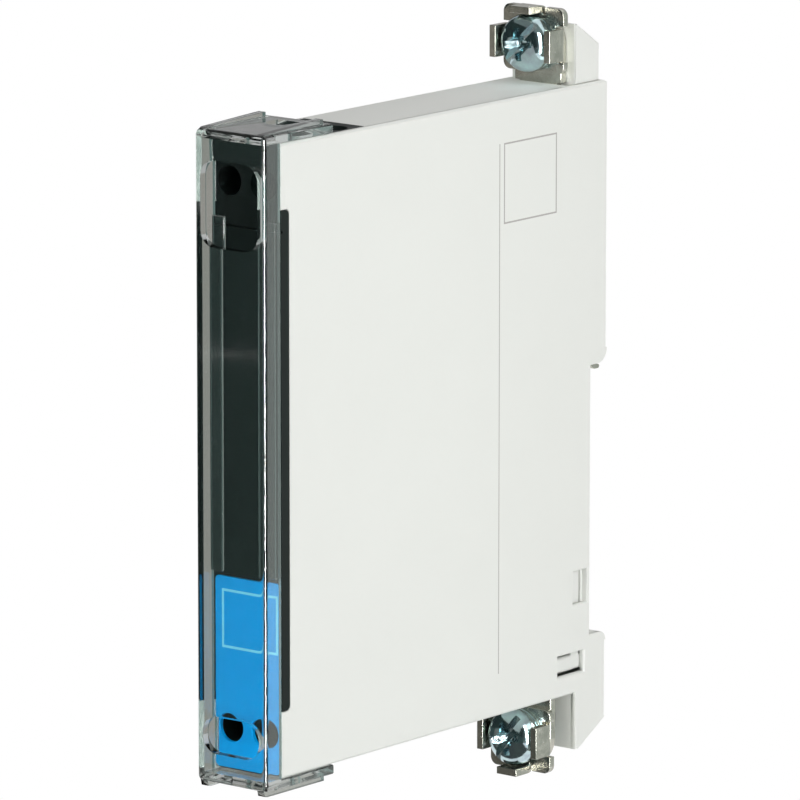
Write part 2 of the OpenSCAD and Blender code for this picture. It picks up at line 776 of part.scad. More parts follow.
// Front view of the upper window and the lower slot
module cover_windows() {
    w = half_w - cover_window_side;
    h = cover_window_h / 2;
    round_rect(-w, cover_window_z - h, w, cover_window_z + h, cover_window_r);
    slot_r = cover_slot_h / 2 - 0.001;
    round_rect(-w, cover_slot_z - cover_slot_h / 2, w, cover_slot_z + cover_slot_h / 2, slot_r);
}

// Window in a tongue over the catch pocket, with a round front end
module catch_window(z) {
    reach = tongue_t + rib_h + 2 * over;
    translate([0, 0, z - reach]) linear_extrude(2 * reach) {
        r = catch_w / 2;
        translate([0, catch_y + r]) circle(r);
        rect(-r, catch_y + r, r, catch_y + catch_l);
    }
}

// Rails inside the cover that hold a label behind the front plate
module label_rails() {
    x1 = half_w - cover_side_t;
    y1 = cover_y1 - fit_gap;
    for (side = [0, 1]) mirror([side, 0, 0])
        box(x1 - label_rail_w, y1 - label_rail_t, bottom_z + label_rail_foot,
            x1 + fit_gap, y1, top_z - label_rail_head);
}

// Flat plate of the earth bar between two depths, from the housing's edge out to the round lug
module lug(y, w, edge_z, axis_z) {
    front_view(y, y + earth_t) difference() {
        union() {
            rect(-w / 2, min(edge_z, axis_z), w / 2, max(edge_z, axis_z));
            translate([0, axis_z]) circle(d = w);
        }
        translate([0, axis_z]) circle(d = earth_thread_d + 2 * thread_gap);
    }
}

module earth_bar() color([0.72, 0.7, 0.64]) {
    lug(lug_top_y, lug_top_w, top_z + fit_gap, lug_top_z);
    lug(lug_bottom_y, lug_bottom_w, bottom_z - fit_gap, lug_bottom_z);
    side_view(-earth_x, earth_x) polygon([
        [lug_top_y, top_z + fit_gap], [lug_top_y + earth_t, top_z + fit_gap],
        [lug_top_y + earth_t, earth_joggle_z + lug_step], [lug_bottom_y + earth_t, earth_joggle_z],
        [lug_bottom_y + earth_t, bottom_z - fit_gap], [lug_bottom_y, bottom_z - fit_gap],
        [lug_bottom_y, earth_joggle_z], [lug_top_y, earth_joggle_z + lug_step]]);
}

// Sheet hook: a leg through the nose's slot, a lip flared to the rear, and a flange on the earth bar
module rail_hook() color([0.75, 0.74, 0.7]) {
    flange_y = lug_top_y + earth_t;
    lip_z = rail_h / 2 - hook_grip;
    bend_y = hook_gap + hook_bend_r;
    bend_z = lip_z + hook_bend_r;
    side_view(-hook_x, hook_x) {
        rect(hook_gap, bend_z, hook_gap + hook_t, hook_run_z + hook_t);
        rect(flange_y, hook_run_z, hook_gap + hook_t, hook_run_z + hook_t);
        rect(flange_y, hook_run_z, flange_y + hook_t, hook_run_z + hook_flange_h);
        intersection() {
            translate([bend_y, bend_z]) difference() {
                circle(hook_bend_r);
                circle(hook_bend_r - hook_t);
            }
            rect(hook_gap, lip_z, bend_y, bend_z);
        }
        rect(bend_y, lip_z, bend_y + hook_t, lip_z + hook_t);
        translate([bend_y + hook_t, lip_z + hook_t / 2]) circle(d = hook_t);
    }
    for (side = [-1, 1]) rod_y(side * rivet_x, hook_run_z + rivet_z, rivet_d,
                               flange_y + hook_t - fit_gap, flange_y + 2 * hook_t);
}

// Slider with a nose behind the rail, two stems, two pry arms, and a bridge on the spring
module rail_latch() color("white") {
    bar_z = (latch_bar_z0 + latch_bar_z1) / 2;
    latch_nose();
    box(-latch_x1, stem_y0, latch_bar_z0, latch_x1, latch_nose_y1, latch_bar_z1);
    for (side = [0, 1]) mirror([side, 0, 0]) {
        box(latch_x0, stem_y0, latch_bar_z0, latch_x1, stem_y1, spring_z1 + bridge_t);
        box(latch_x0, arm_y0 + latch_bar_h / 2, latch_bar_z0, latch_x1, stem_y0 + over, latch_bar_z1);
        translate([latch_x0, arm_y0 + latch_bar_h / 2, bar_z]) rotate([0, 90, 0])
            cylinder(d = latch_bar_h, h = latch_bar_t);
    }
    box(-latch_x1, spring_y - spring_d / 2, spring_z1, latch_x1, stem_y1, spring_z1 + bridge_t);
}

// Nose of the latch, with a slope on its rear that lets it snap past the rail
module latch_nose() {
    side_view(-latch_nose_w / 2, latch_nose_w / 2) polygon([
        [latch_gap, latch_bar_z0], [latch_nose_y1, latch_bar_z0],
        [latch_nose_y1, latch_tip_z - nose_slope_h], [latch_gap + nose_tip_t, latch_tip_z],
        [latch_gap, latch_tip_z]]);
}

// Point j of ring i along the latch spring's helix
function coil_point(i, j) = let(
    turn = 360 * i / coil_steps,
    a = 360 * j / coil_sides,
    r = (spring_d - spring_wire_d) / 2 + spring_wire_d / 2 * cos(a),
    rise = (spring_l - spring_wire_d) * i / (spring_turns * coil_steps)
) [r * cos(turn), r * sin(turn), spring_wire_d / 2 * (1 + sin(a)) + rise];

// Compression spring as a swept helix
module latch_spring() color("silver") {
    last = spring_turns * coil_steps;
    points = [for (i = [0:last], j = [0:coil_sides - 1]) coil_point(i, j)];
    walls = [for (i = [0:last - 1], j = [0:coil_sides - 1]) let(k = (j + 1) % coil_sides)
        [i * coil_sides + j, i * coil_sides + k, (i + 1) * coil_sides + k, (i + 1) * coil_sides + j]];
    ends = [[for (j = [coil_sides - 1:-1:0]) j], [for (j = [0:coil_sides - 1]) last * coil_sides + j]];
    translate([0, spring_y, spring_z0]) polyhedron(points, concat(walls, ends));
}

// Stack of one earth screw: the depth of the lug's front face and the axis height
module earth_stack(end) {
    translate([0, end > 0 ? lug_top_y : lug_bottom_y, end > 0 ? lug_top_z : lug_bottom_z])
        mirror([0, 0, end > 0 ? 0 : 1]) children();
}

// Plate with three bent claws: left, right and outwards
module clamp_washer(end) color([0.6, 0.58, 0.53]) earth_stack(end) {
    half = washer_w / 2;
    front_view(-washer_t, 0) difference() {
        round_rect(-half, -washer_drop, half, half - claw_slit, washer_r);
        circle(d = earth_thread_d + 6 * thread_gap);
        for (c = CLAWS) rotate(-c[0])
            rect(-c[1] / 2 - claw_slit, half - claw_bend_r, c[1] / 2 + claw_slit, half + over);
    }
    for (c = CLAWS) rotate([0, c[0], 0]) claw(c[1]);
}

// Outward claw of a clamp washer: a flat root, a round bend, and a straight arm towards the front
module claw(width) {
    reach = washer_w / 2;
    bend = reach - claw_bend_r;
    side_view(-width / 2, width / 2) {
        rect(-washer_t, bend - over, 0, bend);
        intersection() {
            translate([-claw_bend_r, bend]) difference() {
                circle(claw_bend_r);
                circle(claw_bend_r - washer_t);
            }
            rect(-claw_bend_r, bend, 0, reach);
        }
        rect(-claw_l, reach - washer_t, -claw_bend_r, reach);
    }
}

// Split ring under the screw head
module spring_washer(end) color([0.7, 0.74, 0.77]) earth_stack(end) {
    split = 0.5;
    split_turn = 200;
    front_view(-washer_t - spring_washer_t, -washer_t) difference() {
        circle(d = spring_washer_d);
        circle(d = earth_thread_d + 6 * thread_gap);
        rotate(split_turn) rect(0, -split / 2, spring_washer_d, split / 2);
    }
}

// Pan head screw with a slot crossed by a cross recess
module earth_screw(end) color([0.62, 0.7, 0.76]) earth_stack(end) {
    seat_y = -washer_t - spring_washer_t;
    slot_turn = 25;
    difference() {
        union() {
            rod_y(0, 0, earth_thread_d, seat_y - fit_gap, seat_y + earth_screw_l);
            translate([0, seat_y, 0]) rotate([90, 0, 0]) pan_head();
        }
        translate([0, seat_y - earth_head_h, 0]) {
            for (turn = [0, 90]) rotate([0, turn + slot_turn, 0])
                box(-cross_span / 2, -over, -cross_w / 2, cross_span / 2, cross_depth, cross_w / 2);
            rotate([0, slot_turn, 0])
                box(-earth_head_d, -over, -slot_w / 2, earth_head_d, slot_depth, slot_w / 2);
        }
    }
}

// Pan head as a turned profile: a shallow crown over a round edge
module pan_head() {
    r = earth_head_d / 2;
    crown_r = (r * r + crown_h * crown_h) / (2 * crown_h);
    rotate_extrude() intersection() {
        translate([0, earth_head_h - crown_r]) circle(crown_r, $fn = 180);
        union() {
            rect(0, 0, r - head_r, earth_head_h);
            rect(0, 0, r, earth_head_h - head_r);
            translate([r - head_r, earth_head_h - head_r]) circle(head_r);
        }
    }
}

// Cheese head screw that turns in place in a terminal
module terminal_screw(n) color([0.66, 0.7, 0.72]) {
    t = TERMINALS[n - 1];
    x = t[0] * term_x;
    difference() {
        union() {
            rod_y(x, t[1], term_head_d, term_head_y0, term_head_y1);
            rod_y(x, t[1], term_thread_d, term_head_y1 - fit_gap, bar_y0 - fit_gap / 2);
        }
        translate([x, term_head_y0, t[1]]) rotate([0, 40 * n, 0])
            box(-term_head_d, -over, -term_slot_w / 2, term_head_d, term_slot_depth, term_slot_w / 2);
    }
}

// Box cage with a threaded front wall and a trough in its rear wall
module terminal_cage(n) color([0.72, 0.72, 0.7]) {
    t = TERMINALS[n - 1];
    x = t[0] * term_x;
    z0 = t[1] - cage_h / 2;
    wire_y1 = cage_y1 - cage_rear_t;
    inner_w = cage_w / 2 - cage_side_t;
    difference() {
        box(x - cage_w / 2, cage_y0, z0, x + cage_w / 2, cage_y1, z0 + cage_h);
        box(x - inner_w, cage_y0 + cage_front_t, z0 - over, x + inner_w, wire_y1, z0 + cage_h + over);
        rod_y(x, t[1], term_thread_d + 2 * thread_gap, cage_y0 - over, cage_y0 + cage_front_t + over);
        intersection() {
            translate([x, wire_y1 + trough_depth - trough_r, z0 - over])
                cylinder(r = trough_r, h = cage_h + 2 * over);
            box(x - inner_w, wire_y1 - over, z0 - over, x + inner_w, cage_y1, z0 + cage_h + over);
        }
    }
}

// Bar through the cage that turns back to the circuit board
module contact_bar(n) color([0.8, 0.78, 0.7]) {
    t = TERMINALS[n - 1];
    mirror([t[0] < 0 ? 1 : 0, 0, 0]) {
        bar_channel(t, 0);
        translate([0, 0, t[1]]) mirror([0, 0, t[2] < 0 ? 1 : 0])
            box(board_x, board_y0, -bar_run, term_x + bar_w / 2, board_y0 + bar_foot_l, -bar_run + bar_t);
    }
}

module circuit_board() color([0.1, 0.35, 0.2]) {
    edge = rim_t + 2 * fit_gap;
    box(-board_x, board_y0, bottom_z + edge, board_x, board_y1, top_z - edge);
}

// Round component upright on one side of the board, with bent leads soldered to it. The place is its
// distance from the board's front edge and its height; waist is how far its middle draws in.
module axial_part(side, place, d, l, waist) {
    x = board_x + fit_gap + d / 2;
    lead_run = l / 2 + lead_foot;
    mirror([side < 0 ? 1 : 0, 0, 0]) translate([0, board_y0 + place[0], place[1]]) {
        rod_z(x, 0, d - 2 * waist, -l / 2, l / 2);
        for (end = [-1, 1]) {
            rod_z(x, 0, d, end * l * 3 / 8 - l / 8, end * l * 3 / 8 + l / 8);
            translate([x, 0, end * lead_run]) sphere(d = lead_d);
            translate([board_x, 0, end * lead_run]) rotate([0, 90, 0]) {
                cylinder(d = lead_d, h = x - board_x);
                cylinder(d1 = 2.2 * lead_d, d2 = lead_d, h = solder_h);
            }
        }
        rod_z(x, 0, lead_d, -lead_run, lead_run);
    }
}

module fuse(n) color([0.85, 0.82, 0.7]) axial_part(1, FUSES[n - 1], fuse_d, fuse_l, 0.1);

module zener_diode(n) color([0.15, 0.15, 0.16]) axial_part(1, DIODES[n - 1], diode_d, diode_l, 0);

module resistor(n) color([0.3, 0.45, 0.62]) axial_part(-1, RESISTORS[n - 1], resistor_d, resistor_l, 0.25);

housing_shell();
housing_lid();
terminal_block();
marking_plate();
front_cover();
earth_bar();
rail_hook();
rail_latch();
latch_spring();
circuit_board();
for (n = [0, 1]) {
    end = ["bottom", "top"][n];
    earth_screw(n);
    clamp_washer(n);
    spring_washer(n);
}
for (n = [1:4]) {
    terminal_screw(n);
    terminal_cage(n);
    contact_bar(n);
    zener_diode(n);
    resistor(n);
}
for (n = [1, 2]) fuse(n);
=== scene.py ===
# Looks of a slim safety barrier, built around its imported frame. Metres, same axes as the CAD.
import json
import math

import bmesh
import bpy
from mathutils import Matrix, Vector


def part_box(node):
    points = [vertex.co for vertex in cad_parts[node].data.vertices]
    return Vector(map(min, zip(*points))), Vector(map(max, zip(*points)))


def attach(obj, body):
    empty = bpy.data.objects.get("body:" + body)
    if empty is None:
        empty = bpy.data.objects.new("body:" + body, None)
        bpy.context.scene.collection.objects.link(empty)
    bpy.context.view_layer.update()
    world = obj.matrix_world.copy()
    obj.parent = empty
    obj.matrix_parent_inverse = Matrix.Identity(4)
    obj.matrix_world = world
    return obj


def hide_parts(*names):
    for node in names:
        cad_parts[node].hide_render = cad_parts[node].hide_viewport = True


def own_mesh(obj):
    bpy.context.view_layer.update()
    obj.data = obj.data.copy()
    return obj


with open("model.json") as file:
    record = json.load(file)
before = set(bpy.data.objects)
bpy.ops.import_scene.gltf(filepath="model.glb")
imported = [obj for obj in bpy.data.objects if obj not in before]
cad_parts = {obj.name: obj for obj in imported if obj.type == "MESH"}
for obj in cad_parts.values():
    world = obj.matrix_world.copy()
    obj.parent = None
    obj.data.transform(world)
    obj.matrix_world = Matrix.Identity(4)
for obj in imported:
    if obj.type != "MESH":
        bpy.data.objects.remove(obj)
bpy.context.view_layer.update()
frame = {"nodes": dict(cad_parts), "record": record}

MM = 0.001

# Places and names taken from the frame
RECORD = frame["record"]
BODY_OF = {node: body for body, nodes in RECORD["behaviour"]["bodies"].items() for node in nodes}
SLOT_OF = {part["node"]: part["material_slot"] for part in RECORD["subparts"]}
LID_LOW, LID_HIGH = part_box("housing_lid")
PLATE_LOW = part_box("marking_plate")[0]
SIDE_X = LID_HIGH[0]
FRONT_Y = LID_LOW[1]

# Housing, in metres: where the edges with a radius of their own lie
LID_THICK = 0.8 * MM
INNER_X = SIDE_X - LID_THICK
FOOT_Y = -3 * MM
FOOT_EDGE_H = 0.5 * MM
BOTTOM_Z = -28.1 * MM
TAB_INSET = 0.6 * MM
WINDOWS_Y = (-8 * MM, -0.4 * MM)
WINDOWS_Z = (-26.5 * MM, -10 * MM)
SAME_PLACE = 0.01 * MM

# Edge radii of the moulded and stamped pieces, in metres
SHELL_R = 0.14 * MM
LID_R = 0.12 * MM
TAB_R = 0.4 * MM
WINDOW_R = 0.35 * MM
EDGE_RADII = {
    "terminal_block": 0.12 * MM,
    "marking_plate": 0.08 * MM,
    "rail_hook": 0.08 * MM,
    "earth_bar": 0.15 * MM,
    "clamp_washer_top": 0.2 * MM,
    "clamp_washer_bottom": 0.2 * MM,
}

# Clean-up of a mesh before its edges are rounded: metres and degrees
MERGE = 2e-6
CUT_MERGE = 4e-6
FLAT_ANGLE = 0.8
SHARP_ANGLE = 25

# Clear cover, in millimetres
COVER_DEPTH = 3.3
COVER_CORNER_R = 0.8
COVER_EDGE_R = 0.12
COVER_SOFT_ANGLE = 50
SIDE_WALL = 0.9
FRONT_WALL = 1.2
TONGUE_T = 1.3
TONGUE_LAP = 0.9
TONGUE_R = 0.25
RIB_H = 0.7
RIB_ROOT = 0.9
RIB_INSETS = (0.5, 1.7)
RIB_START = 0.27
RIB_START_SHARE = 0.28
RIB_END = 1.6
TOP_RIB_RISE = 0.2
TOP_RIB_FOOT = 0.9
LOW_RIB_RISE = 0.85
LOW_RIB_FOOT = 0.5
LOW_RIB_FULL = 1.0
CUT_LAP = 0.01
COVER_WINDOW_INSET = 1.1
UPPER_Z = 48.6
UPPER_HALF = 5.8
UPPER_R = 2.3
LOWER_Z = -22.85
LOWER_HALF = 2.55
LOWER_R = 2.5
CATCH_START = 5.1
CATCH_HALF = 1.9
CATCH_LENGTH = 3.8
RAIL_LAP = 0.1
RAIL_W = 2
RAIL_Y = (0.7, 0.1)
RAIL_LOW = 27
RAIL_TOP = 10.4
RAIL_R = 0.25

# Rail latch, in millimetres. Its boxes are inset a little, because the cut needs them to share no face.
LATCH_BAR_H = 2.2
LATCH_BAR_Y = -2.9
LATCH_BAR_R = 0.5
LATCH_ARM_W = 1.6
LATCH_ARM_END = -2
LATCH_ARM_DROP = 0.08
LATCH_ARM_R = 0.55
LATCH_STEM_Y = (-2.85, -1.15)
LATCH_BRIDGE_Y = (-4.9, -1.1)
LATCH_BRIDGE_H = 1.5
LATCH_EDGE_R = 0.15
NOSE_Y = 1.3
NOSE_HALF = 3.2
NOSE_SLOPE = (1.5, -16.5)
NOSE_EDGE_Z = -18.1
LATCH_LAP = 0.9
NOSE_INSET = 0.05
STEM_INSET = 0.03
STEM_TOP_INSET = 0.3
ARM_INSET = 0.01

# Heads of the earth screws, in millimetres: the dome's powers make it flat on top and steep at its side
HEAD_H = 2.8
HEAD_R = 4.0
HEAD_RIM = 0.3
RIM_PROFILE = [(HEAD_R - 0.25, 0), (HEAD_R - 0.06, -0.06), (HEAD_R, -0.25)]
DOME_RINGS = 14
DOME_START = 0.6
DOME_SIDE_POWER = 0.72
DOME_TOP_POWER = 0.8
DOME_TIP_R = 0.05
HEAD_STEPS = 96

# Cross recess and slot, in millimetres
ARM_REACH = 2.9
ARM_TIP = 1.0
ARM_BACK = -0.2
ARM_RIM = 1.5
ARM_NARROWING = 0.7
RECESS_DEPTH = 2.0
RECESS_MOUTH = 0.6
RECESS_MIDDLE = [(1.35, -RECESS_MOUTH), (1.2, 0.6), (0.55, RECESS_DEPTH), (0.1, 2.25)]
RECESS_STEPS = 32
SLOT_SIZE = (9, 2.2, 0.95)

# Threaded shanks, in millimetres: the tip as (radius, distance from the end)
SHANK_STEPS = 48
NECK_R = 1.6
NECK_INSET = 0.3
THREAD_R = 2.0
THREAD_LEAST_R = 1.9
THREAD_DEPTH = 0.4
THREAD_POWER = 1.2
THREAD_PITCH = 0.7
THREAD_STEP = 0.08
THREAD_END = 0.5
SCREW_TIP = ((1.55, 0.35), (1.25, 0))

# Each earth screw's end, and the turn of its cross recess and of its slot in degrees
SCREW_TURNS = (("top", 5, 50), ("bottom", 12, 62))

# Spring washers, in millimetres and degrees: the groove round the edge as (depth, distance from the front)
WASHER_BORE_R = 2.2
WASHER_BORE_EDGE = 0.1
WASHER_RIM_EDGE = 0.12
WASHER_GROOVE = ((0, 0.34), (0.16, 0.42), (0.16, 0.48), (0, 0.56))
WASHER_STEPS = 96
WASHER_GAP = 2
WASHER_TURN = 160

# Angles in degrees above which an edge is shaded sharp
TURNED_ANGLE = 35
COIL_ANGLE = 60

# Print, in millimetres: frames and a line as the corners a0, b0, a1, b1, and the widths of the frames' lines
INK = 0.008 * MM
SIDE_FRAME = (-19.3, 40.0, -7.7, 51.1)
SIDE_FRAME_W = 0.22
SIDE_LINE = (-20.3, -22.2, -20.14, 51.1)
PLATE_FRAME = (-3.9, -11.5, 4.8, -3.5)
PLATE_FRAME_W = 0.34

# Levels of light: the world, and what is left of a white backdrop behind the clear cover
AMBIENT = 0.43
THROUGH_COVER = 0.55
GREEN_GREY = (0.7, 1.0, 0.95)
PALE_GREEN = (0.92, 1.0, 0.96)
WARM = (1.0, 0.97, 0.9)
WHITE = (1, 1, 1)

# Camera: its direction, distance and lens were fitted to the housing's edges in the photo
AZIMUTH = math.radians(38.98)
ELEVATION = math.radians(11.25)
ROLL = math.radians(0.02)
DISTANCE = 1.1
TARGET = Vector((-0.56, -33.5, 17.15)) * MM
LENS = 367
SENSOR = 36


# Materials
def new_material(name, color, roughness, metallic=0.0):
    mat = bpy.data.materials.new(name)
    mat.use_nodes = True
    bsdf = shader(mat)
    bsdf.inputs["Base Color"].default_value = (*color, 1)
    bsdf.inputs["Roughness"].default_value = roughness
    bsdf.inputs["Metallic"].default_value = metallic
    return mat


def shader(mat):
    return mat.node_tree.nodes["Principled BSDF"]


def add_node(mat, kind, **values):
    node = mat.node_tree.nodes.new(kind)
    for key, value in values.items():
        node.inputs[key.replace("_", " ")].default_value = value
    return node


def link(mat, output, target):
    mat.node_tree.links.new(output, target)


def noise(mat, size, detail=3.0, stretch=(1, 1, 1)):
    """Noise value over the object, with features of about the given size in metres."""
    place = add_node(mat, "ShaderNodeTexCoord")
    scaled = add_node(mat, "ShaderNodeMapping", Scale=stretch)
    texture = add_node(mat, "ShaderNodeTexNoise", Scale=1 / size, Detail=detail, Roughness=0.6)
    link(mat, place.outputs["Object"], scaled.inputs["Vector"])
    link(mat, scaled.outputs["Vector"], texture.inputs["Vector"])
    return texture.outputs["Fac"]


def ramp_value(mat, source, low, high):
    """Maps noise from 0.3..0.7 to low..high."""
    node = add_node(mat, "ShaderNodeMapRange", From_Min=0.3, From_Max=0.7, To_Min=low, To_Max=high)
    link(mat, source, node.inputs["Value"])
    return node.outputs["Result"]


def vary_color(mat, color, other, size, stretch=(1, 1, 1)):
    mix = mat.node_tree.nodes.new("ShaderNodeMix")
    mix.data_type = "RGBA"
    mix.inputs["A"].default_value = (*color, 1)
    mix.inputs["B"].default_value = (*other, 1)
    link(mat, ramp_value(mat, noise(mat, size, 3.0, stretch), 0, 1), mix.inputs["Factor"])
    link(mat, mix.outputs["Result"], shader(mat).inputs["Base Color"])


def vary_roughness(mat, low, high, size, stretch=(1, 1, 1)):
    value = ramp_value(mat, noise(mat, size, 4.0, stretch), low, high)
    link(mat, value, shader(mat).inputs["Roughness"])


def grain(mat, size, depth, stretch=(1, 1, 1)):
    bump = add_node(mat, "ShaderNodeBump", Strength=1.0, Distance=depth)
    link(mat, noise(mat, size, 4.0, stretch), bump.inputs["Height"])
    link(mat, bump.outputs["Normal"], shader(mat).inputs["Normal"])
    return bump


def rough_sides(mat, bump, smooth_share):
    """Weakens a bump where the surface faces along Y, as on a screw's dome, but not on recess walls."""
    place = mat.node_tree.nodes.new("ShaderNodeNewGeometry")
    parts = mat.node_tree.nodes.new("ShaderNodeSeparateXYZ")
    link(mat, place.outputs["True Normal"], parts.inputs["Vector"])
    size = mat.node_tree.nodes.new("ShaderNodeMath")
    size.operation = "ABSOLUTE"
    link(mat, parts.outputs["Y"], size.inputs[0])
    share = add_node(mat, "ShaderNodeMapRange", From_Min=0.55, From_Max=0.92,
                     To_Min=1.0, To_Max=smooth_share)
    link(mat, size.outputs["Value"], share.inputs["Value"])
    link(mat, share.outputs["Result"], bump.inputs["Strength"])


def matt_plastic(name, color, other, roughness, shine=0.5):
    """Moulded plastic with a fine grain and a slow change of colour and gloss."""
    mat = new_material(name, color, roughness)
    shader(mat).inputs["Specular IOR Level"].default_value = shine
    vary_color(mat, color, other, 12 * MM)
    vary_roughness(mat, roughness - 0.05, roughness + 0.06, 3 * MM)
    grain(mat, 0.18 * MM, 0.004 * MM)
    return mat


def clear_plastic():
    """Clear plastic with slight flow marks along its height."""
    mat = new_material("cover_plastic", (0.93, 0.96, 0.95), 0.03)
    shader(mat).inputs["Transmission Weight"].default_value = 1.0
    shader(mat).inputs["IOR"].default_value = 1.57
    vary_roughness(mat, 0.02, 0.07, 4 * MM, (1, 1, 0.15))
    grain(mat, 2.0 * MM, 0.003 * MM, (1, 1, 0.12))
    return mat


def plated(name, color, other, low, high, depth=0.0012 * MM, smooth_share=1.0):
    """Plated metal with a roughness between low and high, and a fine unevenness of the given depth."""
    mat = new_material(name, color, high, 1.0)
    vary_color(mat, color, other, 1.6 * MM)
    vary_roughness(mat, low, high, 0.5 * MM)
    rough_sides(mat, grain(mat, 0.5 * MM, depth), smooth_share)
    return mat


def lacquer(name, color, other, roughness, shine=0.5):
    mat = new_material(name, color, roughness)
    shader(mat).inputs["Specular IOR Level"].default_value = shine
    vary_color(mat, color, other, 2 * MM)
    grain(mat, 0.4 * MM, 0.002 * MM)
    return mat


def ink(name, color, roughness):
    mat = new_material(name, color, roughness)
    grain(mat, 0.2 * MM, 0.002 * MM)
    return mat


MATERIALS = {
    "housing_plastic": matt_plastic("housing_plastic", (0.80, 0.81, 0.775), (0.81, 0.82, 0.785), 0.5),
    "block_plastic": matt_plastic("block_plastic", (0.005, 0.009, 0.008), (0.008, 0.013, 0.012), 0.45, 0.1),
    "plate_plastic": lacquer("plate_plastic", (0.0, 0.33, 0.80), (0.0, 0.35, 0.84), 0.4, 0.15),
    "cover_plastic": clear_plastic(),
    "latch_plastic": matt_plastic("latch_plastic", (0.78, 0.79, 0.76), (0.81, 0.82, 0.79), 0.4),
    "nickel": plated("nickel", (0.56, 0.55, 0.49), (0.42, 0.42, 0.37), 0.14, 0.28, 0.006 * MM),
    "zinc": plated("zinc", (0.58, 0.76, 0.77), (0.44, 0.52, 0.58), 0.07, 0.16, 0.022 * MM, 0.06),
    "tinned_copper": plated("tinned_copper", (0.74, 0.71, 0.64), (0.66, 0.64, 0.6), 0.25, 0.4),
    "spring_steel": plated("spring_steel", (0.6, 0.6, 0.6), (0.5, 0.5, 0.52), 0.2, 0.3),
    "board": lacquer("board", (0.02, 0.15, 0.06), (0.03, 0.18, 0.08), 0.4),
    "diode_case": matt_plastic("diode_case", (0.02, 0.02, 0.022), (0.03, 0.03, 0.032), 0.4),
    "resistor_case": lacquer("resistor_case", (0.10, 0.24, 0.42), (0.13, 0.28, 0.46), 0.35),
    "fuse_case": lacquer("fuse_case", (0.72, 0.66, 0.5), (0.76, 0.7, 0.55), 0.3),
}
SIDE_INK = ink("side_ink", (0.42, 0.40, 0.38), 0.55)
PLATE_INK = ink("plate_ink", (0.22, 0.72, 0.95), 0.4)


# Objects and meshes
def add_object(name, data):
    thing = bpy.data.objects.new(name, data)
    bpy.context.scene.collection.objects.link(thing)
    return thing


def add_piece(name, mesh, body, slot, material=None):
    piece = add_object(name, mesh)
    mesh.materials.append(material or MATERIALS[slot])
    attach(piece, body)
    return piece


def finished_mesh(name, bm):
    mesh = bpy.data.meshes.new(name)
    bm.to_mesh(mesh)
    bm.free()
    return mesh


def smooth(piece, angle=40, flat_walls=False):
    """Smooth shading over the round edges, with the large faces kept flat."""
    for polygon in piece.data.polygons:
        square = max(abs(value) for value in polygon.normal) > 0.99999
        polygon.use_smooth = not (flat_walls and square)
    piece.data.set_sharp_from_angle(angle=math.radians(angle))
    modifier = piece.modifiers.new("flat_faces", "WEIGHTED_NORMAL")
    modifier.keep_sharp = True
    modifier.weight = 90


# Moulded and stamped pieces: the CAD solids with small round edges
def round_edges(bm, width, segments, wanted):
    sharp = [edge for edge in bm.edges if len(edge.link_faces) == 2
             and edge.calc_face_angle(0) > math.radians(SHARP_ANGLE) and wanted(edge)]
    bmesh.ops.bevel(bm, geom=sharp, offset=width, offset_type="OFFSET", segments=segments, profile=0.5,
                    affect="EDGES", clamp_overlap=True, loop_slide=True)


def clean(bm, merge):
    """Merges double points and joins the triangles of each flat face."""
    bmesh.ops.remove_doubles(bm, verts=bm.verts, dist=merge)
    bmesh.ops.dissolve_limit(bm, angle_limit=math.radians(FLAT_ANGLE), verts=bm.verts, edges=bm.edges)


def softened(node, width, keep=None, large=None):
    """A copy of a CAD node with its sharp edges rounded, which then stands for the node. Some edges may
    be kept sharp, and some get a larger radius first, as (test, radius)."""
    source = frame["nodes"][node]
    bm = bmesh.new()
    bm.from_mesh(source.data)
    bm.transform(source.matrix_world)
    clean(bm, MERGE)
    soft_piece(node, bm, width, keep, large, node.startswith("housing"))


def soft_piece(node, bm, width, keep=None, large=None, flat_walls=False):
    if large:
        round_edges(bm, large[1], 5, large[0])
    round_edges(bm, width, 3, lambda edge: not (keep and keep(edge)))
    bmesh.ops.triangulate(bm, faces=[face for face in bm.faces if len(face.verts) > 4])
    bmesh.ops.recalc_face_normals(bm, faces=bm.faces)
    mesh = finished_mesh(node + "_soft", bm)
    piece = add_piece(node + "_soft", mesh, BODY_OF[node], SLOT_OF[node])
    smooth(piece, flat_walls=flat_walls)
    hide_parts(node)


def near(value, target):
    return abs(value - target) < SAME_PLACE


def between(value, limits):
    return limits[0] < value < limits[1]


def on_seam(edge):
    """Edges on the parting plane between the housing's two halves stay sharp."""
    return all(near(vert.co.x, INNER_X) for vert in edge.verts)


def lid_large(edge):
    """The rims of the side windows and the front edge of the foot, on the lid's outer face."""
    points = [vert.co for vert in edge.verts]
    outer = all(near(point.x, SIDE_X) for point in points)
    window = all(between(point.y, WINDOWS_Y) and between(point.z, WINDOWS_Z) for point in points)
    foot = all(near(point.y, FOOT_Y) and point.z < BOTTOM_Z + FOOT_EDGE_H for point in points)
    return outer and (window or foot)


def tab_front(edge):
    """The near front edge and the near top edge of the upper tab."""
    points = [vert.co for vert in edge.verts]
    return all(point.z > LID_HIGH[2] - SAME_PLACE and near(point.x, SIDE_X - TAB_INSET) for point in points)


softened("housing_shell", SHELL_R, on_seam, (tab_front, TAB_R))
softened("housing_lid", LID_R, on_seam, (lid_large, WINDOW_R))
for node, radius in EDGE_RADII.items():
    softened(node, radius)


# Turned pieces: rings of points about the Y axis, in millimetres until they become points
def turned_rings(profile, steps, radius_at=None):
    """Rings of points about the Y axis, one for each (radius, y) of the profile."""
    rings = []
    for radius, y in profile:
        ring = []
        for i in range(steps):
            angle = 2 * math.pi * i / steps
            r = radius_at(angle, radius, y) if radius_at else radius
            ring.append(Vector((r * math.cos(angle), y, r * math.sin(angle))) * MM)
        rings.append(ring)
    return rings


